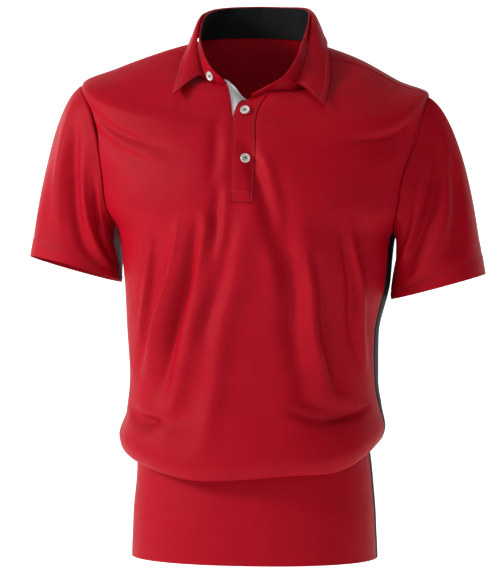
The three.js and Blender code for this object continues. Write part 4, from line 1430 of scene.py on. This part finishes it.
@dataclass
class Sleeve:
    """A set-in sleeve: a loft from the armhole to an oval cuff.

    Attributes:
        form: The body's form, whose armhole the sleeve is set into.
        side: Which side.
        cuff_outer_x: Outer end of the cuff.
        cuff_inner_x: Inner end of the cuff.
        half_depth: Half the cuff's depth front to back.
        start_pull: How far the loft's lines keep their first direction.
        hem_depth: Depth of the cuff's hem.
        around: Columns round the sleeve.
        along: Rows down the sleeve.
    """

    form: BodyForm
    side: Side
    cuff_outer_x: float = 312
    cuff_outer_z: float = -310.5
    cuff_inner_x: float = 186
    cuff_inner_z: float = -344
    half_depth: float = 58
    cuff_y: float = 4
    start_pull: float = 0.6
    end_pull: float = 1.0
    hem_depth: float = 22
    hem_puff: float = 0.5
    length: float = 190
    arc: float = 420
    wall: float = 1.2
    around: int = 132
    along: int = 100
    top: tuple[float, float, float] = (0.88, 0, -0.47)
    bottom: tuple[float, float, float] = (0.45, 0, -0.89)
    arm: tuple[float, float, float] = (0.16, -0.03, -0.98)

    def __post_init__(self) -> None:
        """Walks once round the armhole: down the front, across the side and up the back."""
        form = self.form
        runs = np.linspace(form.tip_run, form.armpit_run, 61)
        front, back = form.edges["front", self.side], form.edges["back", self.side]
        across = np.linspace(front(runs[-1:])[0], back(runs[-1:])[0], 13)
        turn = np.concatenate([front(runs), across[1:-1], back(runs[::-1])])
        run = np.concatenate([runs, np.full(11, form.armpit_run), runs[::-1]])
        path = form.base(self.side.value * turn, run)
        way = np.concatenate([[0], np.cumsum(np.linalg.norm(np.diff(path, axis=0), axis=1))])
        share = way / way[-1]
        self.turn_of = Curve(share, turn)
        self.run_of = Curve(share, run)
        left = self.side is Side.LEFT
        self.tilt = 0.05 if left else -0.1
        self.rise = -14.0 if left else 10.5
        seed = 23 if left else 37
        self.waves = Undulation(seed=seed, longest=110, shortest=30, height=0.6, stretch=1.6)

    def cuff(self, share: Array) -> Array:
        """An oval: cosine from the outer to the inner end, sine from front to back.

        Args:
            share: Share of the way round.

        Returns:
            Points for the shirt's own left side.
        """
        angle = 2 * math.pi * share
        reach = np.cos(angle) / 2
        y = self.cuff_y - self.half_depth * np.sin(angle)
        x = (self.cuff_outer_x + self.cuff_inner_x) / 2 + (self.cuff_outer_x - self.cuff_inner_x) * reach
        z = (self.cuff_outer_z + self.cuff_inner_z) / 2 + (self.cuff_outer_z - self.cuff_inner_z) * reach
        return np.stack([x, y, z + self.tilt * (y - self.cuff_y) + self.rise], -1)

    def base(self, share: Array, along: Array) -> Array:
        """A cubic from each point of the armhole to the cuff, with set directions at its ends.

        Args:
            share: Share of the way round the armhole.
            along: Share of the way down the sleeve.

        Returns:
            Points in millimetres.
        """
        share, t = np.broadcast_arrays(np.asarray(share, float), np.asarray(along, float))
        loop = share - np.floor(share)
        start = self.form.base(self.side.value * self.turn_of(loop), self.run_of(loop))
        start = start * np.array([self.side.value, 1, 1])
        end = self.cuff(loop)
        under = ((1 - np.cos(2 * math.pi * loop)) / 2)[..., None]
        length = np.linalg.norm(end - start, axis=-1, keepdims=True)
        leave = unit(mix(np.array(self.top), np.array(self.bottom), under)) * length * self.start_pull
        arrive = unit(np.array(self.arm)) * length * self.end_pull
        t = t[..., None]
        t2, t3 = t * t, t * t * t
        point = (
            start * (2 * t3 - 3 * t2 + 1)
            + leave * (t3 - 2 * t2 + t)
            + end * (3 * t2 - 2 * t3)
            + arrive * (t3 - t2)
        )
        return point * np.array([self.side.value, 1, 1])

    def facing(self, share: Array, along: Array) -> Array:
        """The outward direction of the sleeve without folds."""
        inside = np.clip(along, 0.012, 0.988)
        return outward(self.base, share, inside, 0.004, 0.012) * self.side.value

    def surface(self, share: Array, along: Array) -> Array:
        """The folded sleeve, with its hem and the dip at the armhole seam.

        Args:
            share: Share of the way round.
            along: Share of the way down.

        Returns:
            Points in millimetres.
        """
        loop = share - np.floor(share)
        down = along * self.length
        fade = smooth((along - 0.04) / 0.2) * (1 - smooth((along - 0.78) / 0.14))
        folds = SLEEVE_FOLDS[self.side]
        lift = total_lift(folds, loop, along, self.arc, self.length)
        x = np.minimum(loop, 1 - loop) * self.arc
        lift = (lift + self.waves.lift(x, down)) * fade
        line = self.length - self.hem_depth
        lift = lift + self.hem_puff * smooth((down - line) / 4) - 0.35 * bump(down - line - 1.5, 1.6)
        lift = lift - 0.8 * bump(down, 1.8) + 0.3 * bump(down - 6, 3)
        return self.base(share, along) + lift[..., None] * self.facing(share, along)

    def build(self, finish: bpy.types.Material) -> bpy.types.Object:
        """The sleeve as a closed tube of cloth.

        Args:
            finish: The cloth.

        Returns:
            The piece.
        """
        even = np.linspace(0, 1, self.around + 1)[:-1]
        share = even if self.side is Side.LEFT else even[::-1]
        seam = np.array([0.0015, 0.006, 0.012])
        down = np.concatenate([seam, np.linspace(0.02, 0.86, self.along - 16), np.linspace(0.87, 1, 16)])
        u, v = np.meshgrid(share, down)
        shell = shell_of(self.surface, u, v, self.wall, (0.003, 0.008), closed=True, flip=self.side.value)
        made = shell.build(f"sleeve_cloth_{self.side.name.lower()}")
        dress(made, finish, f"sleeve_{self.side.name.lower()}")
        return made

    def hem_line(self) -> tuple[Array, Array]:
        """The line of the hem's stitching, round the cuff.

        Returns:
            Points and outward directions.
        """
        share = np.linspace(0, 1, 240)
        along = np.full_like(share, 1 - (self.hem_depth - 1.5) / self.length)
        return self.surface(share, along) + 0.1 * self.facing(share, along), self.facing(share, along)


@dataclass
class Placket:
    """The outer and the under placket.

    Attributes:
        form: The body's form.
        over_wall: Thickness of the outer placket, which is folded cloth.
        under_wall: Thickness of the under placket.
        gap: Gap between the layers.
        stop: How far below the neckline the outer placket ends.
        inside_run: Run of the under placket's top at its inner corner.
        outside_run: Run of its top at the outer corner.
        tuck_in: How far its top tucks in behind the stand.
        tuck_span: Over what run it does so.
    """

    form: BodyForm
    over_wall: float = 1.5
    under_wall: float = 1.2
    collar_wall: float = 1.6
    gap: float = 0.3
    stop: float = 2
    inside_run: float = 767
    outside_run: float = 758
    tuck_in: float = 2.4
    tuck_span: float = 13
    rise: tuple[float, float, float] = (-0.42, -0.3, 0.86)
    across: int = 22
    up: int = 110

    def over_x(self, share: Array, run: Array) -> Array:
        """Millimetres across, at a share of the outer placket's width."""
        return self.form.lap_edge(run) + share * self.form.placket_width

    def over_surface(self, share: Array, run: Array) -> Array:
        """The outer placket lies on the front, a little crowned, with sunk stitching lines.

        Args:
            share: Share across, from the free edge.
            run: Run up the body.

        Returns:
            Points in millimetres.
        """
        form = self.form
        width = form.placket_width
        edge = np.minimum(share, 1 - share) * width
        foot = form.placket_foot - form.placket_box
        low = run - foot
        crown = 0.35 * smooth(edge / 7)
        sunk = -0.3 * bump(edge - 2.2, 0.9) * (share < 0.5) - 0.35 * bump(low - 2.0, 1.2)
        sunk = sunk - 0.35 * bump(run - form.placket_foot, 1.2)
        lift = self.gap + self.over_wall + crown + sunk - form.placket_sink * (1 - 0.35 * (1 - share) ** 2)
        return form.cloth(form.turn_at(self.over_x(share, run), run), run, lift)

    def over(self, finish: bpy.types.Material) -> bpy.types.Object:
        """The strip that laps over, on the shirt's own left.

        Args:
            finish: The cloth.

        Returns:
            The piece.
        """
        form = self.form
        start, end = form.placket_foot - form.placket_box, form.neck_run - self.stop
        run = start + (end - start) * shares(self.up, near_start=True, near_end=True)
        share = shares(self.across, near_start=True, near_end=True)
        u, v = np.meshgrid(share, run)
        made = shell_of(self.over_surface, u, v, self.over_wall, (0.01, 0.8)).build("outer_placket")
        dress(made, finish, "placket_over")
        return made

    def under_surface(self, share: Array, run: Array) -> Array:
        """The under placket lies inside the front and runs on past the neckline.

        Args:
            share: Share across, from its inner edge.
            run: Run up the body; above the neckline it follows the stand's end.

        Returns:
            Points in millimetres.
        """
        form = self.form
        lap = mix(-form.placket_lap, self.gap, smooth((run - form.neck_run + 6) / 6))
        x = form.right_edge(run) + mix(lap, form.placket_width - form.placket_lap, share)
        past = np.maximum(run - form.neck_run, 0)
        low = np.minimum(run, form.neck_run)
        point = form.cloth(form.turn_at(x, run), low, -(self.collar_wall + self.gap) + 0 * run)
        tuck = self.tuck_in * smooth((run - form.neck_run + self.tuck_span) / self.tuck_span)
        return point + tuck[..., None] * np.array([0, 1, 0]) + past[..., None] * np.array(self.rise)

    def under(self, finish: bpy.types.Material) -> bpy.types.Object:
        """The strip that shows in the open neck.

        Args:
            finish: The cloth.

        Returns:
            The piece.
        """
        form = self.form
        start = form.placket_foot - form.placket_box
        share, up = np.meshgrid(np.linspace(0, 1, self.across + 1), shares(self.up, near_end=True))
        top = mix(self.inside_run, self.outside_run, share)
        run = start + (top - start) * up
        made = shell_of(self.under_surface, share, run, self.under_wall, (0.01, 0.8)).build("under_placket")
        dress(made, finish, "placket_under")
        return made

    def over_lines(self) -> list[tuple[Array, Array]]:
        """The lines of stitching: both long edges and the box at the foot.

        Returns:
            Pairs of points and outward directions.
        """
        form = self.form
        inset = 2.6 / form.placket_width
        foot, top = form.placket_foot - form.placket_box, form.neck_run - self.stop
        lines = []
        for share in (inset, 1 - inset):
            run = np.linspace(foot + 2, top, 160)
            lines.append(self.on_over(np.full_like(run, share), run))
        for run in (foot + 2, form.placket_foot):
            share = np.linspace(inset, 1 - inset, 24)
            lines.append(self.on_over(share, np.full_like(share, run)))
        return lines

    def on_over(self, share: Array, run: Array) -> tuple[Array, Array]:
        """Points just above the outer placket, and its outward directions."""
        out = outward(self.over_surface, share, run, 0.01, 0.8)
        return self.over_surface(share, run) + 0.1 * out, out

    def under_lines(self) -> list[tuple[Array, Array]]:
        """The line of stitching inside the under placket's free edge.

        Returns:
            Pairs of points and outward directions.
        """
        run = np.linspace(self.form.placket_foot, self.outside_run + 1, 150)
        share = np.full_like(run, 1 - 4 / self.form.placket_width)
        out = outward(self.under_surface, share, run, 0.01, 0.8)
        return [(self.under_surface(share, run) + 0.1 * out, out)]


@dataclass
class Collar:
    """The stand, the leaf that falls from it and the facing inside it.

    Attributes:
        form: The body's form.
        wall: Thickness of the collar.
        facing_wall: Thickness of the facing.
        neck_gap: Gap above the neckline.
        gap: Gap between the layers.
        leaf_from: Turn at which the leaf starts on the shirt's own left.
        leaf_to: Turn at which it ends, going round the back.
        root_on_top: Share of the stand's height above which the leaf's root clears its top.
        fold_gap: Gap between the stand and the root of the leaf beside it.
        thread_lift: Height of the buttonhole's stitches over the stand.
        hole_way: Turn of the middle of the buttonhole.
        hole_half: Half its length, in degrees.
        hole_share: Its height, as a share of the stand.
        hole_tall: Half its height, as a share of the stand.
        slide_from: Turn at which the leaf's root begins to move over the stand's top.
        slide_span: Degrees over which it moves there.
        facing_from: Turn at which the facing starts.
        facing_to: Turn at which it ends.
        roll_out: How far the leaf rolls out over the fold.
        roll_up: How far it rolls up.
    """

    form: BodyForm
    wall: float = 1.6
    facing_wall: float = 1.0
    neck_gap: float = 0.6
    gap: float = 0.3
    leaf_from: float = 39.6
    leaf_to: float = 316
    root_on_top: float = 0.95
    fold_gap: float = 0.05
    thread_lift: float = 0.15
    hole_way: float = 25
    hole_half: float = 4.6
    hole_share: float = 0.5
    hole_tall: float = 0.06
    slide_from: float = 100
    slide_span: float = 10
    facing_from: float = 76
    facing_to: float = 284
    roll_out: float = 6
    roll_up: float = 9
    around: int = 300
    stand_up: int = 16
    leaf_down: int = 30

    def __post_init__(self) -> None:
        """Turns the tables into curves and finds the ends of the stand."""
        names = [f.name for f in fields(CollarRow) if f.name != "turn"]
        self.top = {name: table_curve(STAND_TOP, "turn", name) for name in names}
        self.edge = {name: table_curve(LEAF_EDGE, "turn", name) for name in names}
        self.root_share = {side: table_curve(LEAF_ROOT, "turn", side.name.lower()) for side in Side}
        form = self.form
        neck = np.array(form.neck_run)
        self.left_end = float(form.turn_at(form.lap_edge(neck), neck))
        self.right_end = 360 + float(form.turn_at(form.right_edge(neck), neck))

    def line(self, table: dict[str, Curve], turn: Array) -> Array:
        """Points of one of the collar's lines.

        Args:
            table: The line's curves.
            turn: Degrees from -180 to 180.

        Returns:
            Points in millimetres.
        """
        angle, right = np.abs(turn), turn < 0
        x, y, z = (np.where(right, table[f"right_{k}"](angle), table[f"left_{k}"](angle)) for k in "xyz")
        return self.form.lean(np.stack([np.where(right, -x, x), y, z], -1))

    def stand(self, way: Array, share: Array) -> Array:
        """The stand: straight from just above the neckline to the fold line.

        Args:
            way: Degrees round, up to 360.
            share: Share of the way up.

        Returns:
            Points in millimetres.
        """
        turn = np.where(way > 180, way - 360, way)
        base = self.form.base(turn, np.full_like(turn, self.form.neck_run))
        top = self.line(self.top, turn)
        height = np.linalg.norm(top - base, axis=-1)
        climb = (self.neck_gap + share * (height - self.neck_gap)) / height
        return base + (top - base) * climb[..., None]

    def leaf(self, way: Array, share: Array) -> Array:
        """The leaf: a curve that rolls up and out over the fold and falls to its edge.

        Args:
            way: Degrees round, up to 360.
            share: 0 at the outer edge, 1 at the fold.

        Returns:
            Points in millimetres.
        """
        turn = np.where(way > 180, way - 360, way)
        angle = np.abs(turn)
        rooted = {side: self.root_share[side](angle) for side in Side}
        at = np.where(turn < 0, rooted[Side.RIGHT], rooted[Side.LEFT])
        slide = smooth((angle - self.slide_from) / self.slide_span)
        beside = ((self.wall + self.fold_gap) * (1 - slide))[..., None]
        lifted = np.where(at > self.root_on_top, self.gap, 0.0)[..., None]
        out = outward(self.stand, way, at, 1, 0.05)
        start = self.stand(way, at) + beside * out + lifted * UP
        end = self.line(self.edge, turn)
        out = unit((end - start) * np.array([1, 1, 0]))
        roll = start + out * self.roll_out + UP * self.roll_up
        t = (1 - share)[..., None]
        return start * (1 - t) ** 2 + roll * 2 * t * (1 - t) + end * t**2

    def leaf_surface(self, way: Array, share: Array) -> Array:
        """The leaf with a turned edge and sunk stitching beside it."""
        bare = self.leaf(way, share)
        out = outward(self.leaf, way, np.clip(share, 0.04, 0.96), 0.8, 0.04)
        long = np.linalg.norm(self.leaf(way, share * 0) - self.leaf(way, share * 0 + 1), axis=-1)
        rim = np.minimum(way - self.leaf_from, self.leaf_to - way) * 1.35
        away = np.minimum(share * long, rim)
        lift = 0.35 * bump(away, 3.2) - 0.3 * bump(away - 5, 1.0) + 0.25 * np.sin(way / 9) * share
        return bare + lift[..., None] * out

    def grid(self, start: float, end: float, rows: int, seam_low: bool) -> tuple[Array, Array]:
        """A grid of turns by shares, closer at the edges."""
        count = max(8, int(self.around * (end - start) / 340))
        way = start + (end - start) * shares(count, near_start=True, near_end=True)
        up = shares(rows, near_start=seam_low, near_end=not seam_low)
        u, v = np.meshgrid(way, up)
        return u, v

    def build(self, cloth: bpy.types.Material, lining: bpy.types.Material) -> None:
        """The stand, the leaf and the facing.

        Args:
            cloth: The collar's cloth.
            lining: The facing's cloth.
        """
        u, v = self.grid(self.left_end, self.right_end, self.stand_up, True)
        made = shell_of(self.stand, u, v, self.wall, (0.8, 0.05)).build("collar_band")
        dress(made, cloth, "collar_stand")
        u, v = self.grid(self.leaf_from, self.leaf_to, self.leaf_down, True)
        made = shell_of(self.leaf_surface, u, v, self.wall, (0.8, 0.04)).build("collar_fall")
        dress(made, cloth, "collar_leaf")

        def inside(way: Array, share: Array) -> Array:
            """The facing lies one wall inside the stand."""
            out = outward(self.stand, way, share, 0.8, 0.05)
            return self.stand(way, share) - (self.wall + self.gap) * out

        u, v = self.grid(self.facing_from, self.facing_to, self.stand_up, True)
        made = shell_of(inside, u, v, self.facing_wall, (0.8, 0.05)).build("neck_facing")
        dress(made, lining, "collar_facing")

    def buttonhole(self) -> tuple[Array, Array]:
        """The ring of stitches round the buttonhole in the left end of the band.

        Returns:
            Points and outward directions.
        """
        angle = np.linspace(0, 2 * math.pi, 60)
        way = self.hole_way + self.hole_half * np.cos(angle)
        share = self.hole_share + self.hole_tall * np.sin(angle)
        out = outward(self.stand, way, share, 1, 0.05)
        return self.stand(way, share) + self.thread_lift * out, out

    def leaf_lines(self) -> list[tuple[Array, Array]]:
        """The stitching inside the leaf's outer edge and its two front edges.

        Returns:
            Pairs of points and outward directions.
        """
        way = np.linspace(self.leaf_from + 3.5, self.leaf_to - 3.5, 400)
        lines = [self.on_leaf(way, np.full_like(way, 0.075))]
        for end in (self.leaf_from + 3.5, self.leaf_to - 3.5):
            share = np.linspace(0.075, 0.9, 60)
            lines.append(self.on_leaf(np.full_like(share, end), share))
        return lines

    def on_leaf(self, way: Array, share: Array) -> tuple[Array, Array]:
        """Points just above the leaf, and its outward directions."""
        out = outward(self.leaf_surface, way, share, 0.8, 0.04)
        return self.leaf_surface(way, share) + 0.1 * out, out


@dataclass
class Buttons:
    """Four-hole buttons with a raised rim, sewn on with dark thread.

    Attributes:
        form: The body's form.
        placket: The placket that two of the buttons fasten.
        collar: The collar, whose stand carries the third.
        radius: Radius of a button.
        thick: Thickness of a button.
        dish: Depth of its face.
        rim: Width of its rim.
        hole_radius: Radius of a hole.
        hole_pitch: Distance between two holes.
        fastened: Node, place across, run and twist of each fastened button.
        collar_way: Turn of the collar's button.
        collar_share: Its height, as a share of the stand.
        collar_level: Its distance from the stand's surface.
        sides: Sides of a button's rings.
    """

    form: BodyForm
    placket: Placket
    collar: Collar
    radius: float = 6.4
    thick: float = 2.6
    dish: float = 0.8
    rim: float = 1.5
    hole_radius: float = 0.8
    hole_pitch: float = 2.6
    fastened: tuple[tuple[str, float, float, float], ...] = (
        ("button_low", 4, 603, 0.35),
        ("button_middle", 0.6, 714, 0.1),
    )
    collar_way: float = 327
    collar_share: float = 0.42
    collar_level: float = 0.8
    sides: int = 48

    def places(self) -> list[tuple[str, Array, Array, float]]:
        """Where each button sits.

        Returns:
            The node's name, the point on the cloth, the outward direction and the twist.
        """
        form, places = self.form, []
        for node, x, run, twist in self.fastened:
            r = np.array(run, float)
            turn = form.turn_at(np.array(float(x)), r)
            lift = np.array(self.placket.gap + self.placket.over_wall + self.placket.gap)
            smooth_cloth = lambda t, q: form.cloth(t, q, 0 * t)
            out = outward(smooth_cloth, turn, r, 0.4, 1.5)
            places.append((node, form.cloth(turn, r, 0 * r) + lift * out, out, twist))
        way, share = np.array(self.collar_way, float), np.array(self.collar_share)
        out = outward(self.collar.stand, way, share, 1, 0.05)
        places.append(("button_collar", self.collar.stand(way, share) + self.collar_level * out, out, 0.6))
        return places

    def disc(self, name: str) -> bpy.types.Object:
        """A turned profile with four holes drilled through it, lying on the origin.

        Args:
            name: The piece's name.

        Returns:
            The button.
        """
        r, t = self.radius, self.thick
        profile = np.array(
            [
                (0, 0), (r - 1.2, 0), (r - 0.5, 0.18), (r - 0.12, 0.55), (r, 1.1), (r - 0.06, 1.75),
                (r - 0.3, 2.2), (r - 0.7, t), (r - 1.0, t - 0.03), (r - self.rim, t - 0.25),
                (r - self.rim - 0.5, t - self.dish),
                (r - self.rim - 1.2, t - self.dish - 0.06),
                (0, t - self.dish),
            ]
        )  # fmt: skip
        angle = np.linspace(0, 2 * math.pi, self.sides, endpoint=False)
        ring = profile[1:-1]
        x, y = ring[:, 0, None] * np.cos(angle), ring[:, 0, None] * np.sin(angle)
        z = np.broadcast_to(ring[:, 1, None], x.shape)
        middles = [[0, 0, 0], [0, 0, t - self.dish]]
        points = np.concatenate([np.stack([x, y, z], -1).reshape(-1, 3), middles])
        k, j = np.meshgrid(np.arange(len(ring) - 1), np.arange(self.sides), indexing="ij")
        n, after = self.sides, (j + 1) % self.sides
        quads = np.stack([k * n + j, k * n + after, (k + 1) * n + after, (k + 1) * n + j], -1)
        low, high = len(points) - 2, len(points) - 1
        j = np.arange(n)
        last = (len(ring) - 1) * n
        faces = quads.reshape(-1, 4).tolist()
        faces += np.stack([(j + 1) % n, j, np.full(n, low)], -1).tolist()
        faces += np.stack([last + j, last + (j + 1) % n, np.full(n, high)], -1).tolist()
        made = new_object(name, points, faces)
        for sx in (-1, 1):
            for sy in (-1, 1):
                self.drill(made, sx * self.hole_pitch / 2, sy * self.hole_pitch / 2)
        return made

    def drill(self, made: bpy.types.Object, x: float, y: float) -> None:
        """Cuts one round hole right through a button.

        Args:
            made: The button.
            x: The hole's place across.
            y: The hole's place up.
        """
        angle = np.linspace(0, 2 * math.pi, 16, endpoint=False)
        ring = np.stack([x + self.hole_radius * np.cos(angle), y + self.hole_radius * np.sin(angle)], -1)
        low = np.pad(ring, ((0, 0), (0, 1)), constant_values=-1)
        high = np.pad(ring, ((0, 0), (0, 1)), constant_values=self.thick + 1)
        j = np.arange(16)
        faces = np.stack([j, (j + 1) % 16, 16 + (j + 1) % 16, 16 + j], -1).tolist()
        faces += [j[::-1].tolist(), (16 + j).tolist()]
        cutter = new_object("drill", np.concatenate([low, high]), faces)
        cut = made.modifiers.new("hole", "BOOLEAN")
        cut.operation, cut.object, cut.solver = "DIFFERENCE", cutter, "EXACT"
        ready = made.evaluated_get(bpy.context.evaluated_depsgraph_get())
        mesh = bpy.data.meshes.new_from_object(ready)
        made.modifiers.clear()
        made.data = mesh
        bpy.data.objects.remove(cutter)

    def thread(self, name: str) -> bpy.types.Object:
        """Two crossed strands over the holes, each a bent round bar, lying on the button.

        Args:
            name: The piece's name.

        Returns:
            The thread.
        """
        points, faces = [], []
        h, top = self.hole_pitch / 2, self.thick - self.dish
        for dx, dy in ((1, 1), (1, -1)):
            for shift in (-0.22, 0.22):
                s = np.linspace(-1, 1, 13)
                arch = top + 0.42 * (1 - s**4) - 1.5 * smooth((np.abs(s) - 0.85) / 0.15)
                aside = np.array([-dy, dx, 0]) / math.sqrt(2)
                path = np.stack([s * h * dx, s * h * dy, arch + 0.1 * (dy < 0)], -1) + aside * shift
                angle = np.linspace(0, 2 * math.pi, 8, endpoint=False)
                ring = 0.24 * (np.cos(angle)[:, None] * aside + np.sin(angle)[:, None] * UP)
                tube = path[:, None] + ring[None]
                start = sum(len(p) for p in points)
                points.append(tube.reshape(-1, 3))
                k, j = np.meshgrid(np.arange(12), np.arange(8), indexing="ij")
                after = (j + 1) % 8
                quads = np.stack([k * 8 + j, (k + 1) * 8 + j, (k + 1) * 8 + after, k * 8 + after], -1)
                faces += (quads.reshape(-1, 4) + start).tolist()
                faces += [(start + np.arange(8)).tolist(), (start + 96 + np.arange(8))[::-1].tolist()]
        return new_object(name, np.concatenate(points), faces)

    def seat(self, made: bpy.types.Object, at: Array, out: Array, twist: float) -> None:
        """Moves a piece's points from the origin to its place on the cloth.

        Args:
            made: The piece.
            at: The point on the cloth.
            out: The outward direction.
            twist: The turn about that direction, in radians.
        """
        right = unit(np.cross(np.array([0, 0, 1.0]), out))
        up = np.cross(out, right)
        x_axis = right * math.cos(twist) + up * math.sin(twist)
        y_axis = np.cross(out, x_axis)
        flat = np.empty(len(made.data.vertices) * 3)
        made.data.vertices.foreach_get("co", flat)
        co = flat.reshape(-1, 3)
        moved = co[:, :1] * x_axis + co[:, 1:2] * y_axis + co[:, 2:] * out + at * MM
        made.data.vertices.foreach_set("co", moved.ravel())
        made.data.update()

    def build(self, shell: bpy.types.Material, thread: bpy.types.Material) -> None:
        """All three buttons and their thread.

        Args:
            shell: The buttons' finish.
            thread: The thread's finish.
        """
        for node, at, out, twist in self.places():
            made = self.disc(f"{node}_disc")
            self.seat(made, at, out, twist)
            dress(made, shell, node)
            sewn = self.thread(f"{node}_thread")
            self.seat(sewn, at, out, twist)
            dress(sewn, thread)


@dataclass
class Studio:
    """Pale floor, soft lights and the camera at the shirt's viewing angle.

    Attributes:
        azimuth: The camera's angle towards the shirt's own left, in degrees.
        distance: Its distance in metres.
        aim_z: Height that it looks at.
        aside: How far the view is moved along the camera's right.
        lens: Focal length on a 36 mm sensor.
        floor_z: Height of the floor.
    """

    azimuth: float = 8
    distance: float = 2.6
    aim_z: float = -0.35
    aside: float = -0.006
    lens: float = 117.4
    floor_z: float = -1.0

    def floor(self) -> None:
        """A sweep: a floor that curves up into a wall behind the shirt."""
        y = np.concatenate([[-6.0], 3.0 + 1.5 * np.sin(np.linspace(0, math.pi / 2, 16)), [4.5]])
        z = np.concatenate([[0.0], 1.5 * (1 - np.cos(np.linspace(0, math.pi / 2, 16))), [7.0]])
        x = np.array([-9.0, 9.0])
        points = np.stack(
            [np.tile(x, len(y)), np.repeat(y, 2), np.repeat(z + self.floor_z, 2)], -1
        )
        i = np.arange(len(y) - 1) * 2
        faces = np.stack([i, i + 1, i + 3, i + 2], -1).tolist()
        made = new_object("floor", points / MM, faces)
        n = Nodes("pale_floor")
        n.shader.inputs["Base Color"].default_value = (0.86, 0.86, 0.86, 1)
        n.shader.inputs["Emission Color"].default_value = (1, 1, 1, 1)
        n.shader.inputs["Emission Strength"].default_value = 0.75
        grain = n.add("ShaderNodeTexNoise", Scale=6.0)
        n.join(n.add("ShaderNodeTexCoord").outputs["Object"], grain.inputs["Vector"])
        rough = n.math("ADD", n.math("MULTIPLY", grain.outputs[0], 0.05), 0.85)
        n.join(rough, n.shader.inputs["Roughness"])
        made.data.materials.append(n.material)

    def light(self, name: str, at: tuple[float, float, float], power: float, size: float) -> None:
        """A square soft light aimed at the middle of the shirt.

        Args:
            name: Its name.
            at: Its place in metres.
            power: Its power in watts.
            size: Its side in metres.
        """
        data = bpy.data.lights.new(name, "AREA")
        data.energy, data.size = power, size
        made = bpy.data.objects.new(name, data)
        bpy.context.scene.collection.objects.link(made)
        made.location = at
        made.rotation_euler = (Vector((0, 0, self.aim_z)) - Vector(at)).to_track_quat("-Z", "Y").to_euler()

    def lights(self) -> None:
        """A large key at the camera's left, a weak fill, two edge lights and a pale surround."""
        self.light("key", (-2.3, -1.2, 0.75), 78, 0.7)
        self.light("front_fill", (0.4, -2.9, 0.5), 8, 1.2)
        self.light("top", (0.0, -0.5, 2.0), 9, 1.4)
        self.light("back_left", (-1.6, 1.9, 0.6), 9, 1.2)
        self.light("back_right", (1.7, 1.9, 0.6), 4, 1.2)
        world = bpy.data.worlds.new("surround")
        world.use_nodes = True
        sky = world.node_tree.nodes["Background"]
        sky.inputs["Color"].default_value = (1, 1, 1, 1)
        sky.inputs["Strength"].default_value = 0.18
        bpy.context.scene.world = world

    def camera(self) -> None:
        """A level camera in front, turned a little to the shirt's own left."""
        angle = math.radians(self.azimuth)
        back = Vector((math.sin(angle), -math.cos(angle), 0))
        right = Vector((math.cos(angle), math.sin(angle), 0))
        aim = Vector((0, 0, self.aim_z)) + right * self.aside
        data = bpy.data.cameras.new("camera")
        data.sensor_width, data.lens = 36, self.lens
        made = bpy.data.objects.new("camera", data)
        bpy.context.scene.collection.objects.link(made)
        made.location = aim + back * self.distance
        made.rotation_euler = (-back).to_track_quat("-Z", "Y").to_euler()
        bpy.context.scene.camera = made
        bpy.context.scene.view_settings.view_transform = "Standard"


def main() -> None:
    """Builds the shirt piece by piece."""
    logging.basicConfig(level=logging.INFO, format="%(name)s: %(message)s")
    studio = Studio()
    studio.camera()
    studio.floor()
    studio.lights()
    finishes = make_finishes()
    form = BodyForm()
    panels = Panels(form)
    panels.front(finishes.red)
    panels.back(finishes.red)
    for side in Side:
        panels.side(side, finishes.black)
    sleeves = [Sleeve(form, side) for side in Side]
    for sleeve in sleeves:
        sleeve.build(finishes.red)
    placket = Placket(form)
    placket.over(finishes.red)
    placket.under(finishes.grey)
    collar = Collar(form)
    collar.build(finishes.red, finishes.black)
    Buttons(form, placket, collar).build(finishes.button, finishes.dark_thread)
    stitching = Stitching()
    lines = placket.over_lines() + collar.leaf_lines() + [s.hem_line() for s in sleeves]
    lines.append(collar.buttonhole())
    dress(stitching.build("red_stitching", lines), finishes.red_thread)
    under = stitching.build("grey_stitching", placket.under_lines())
    dress(under, finishes.grey_thread)
    log.info("sizes written")


if __name__ == "__main__":
    main()
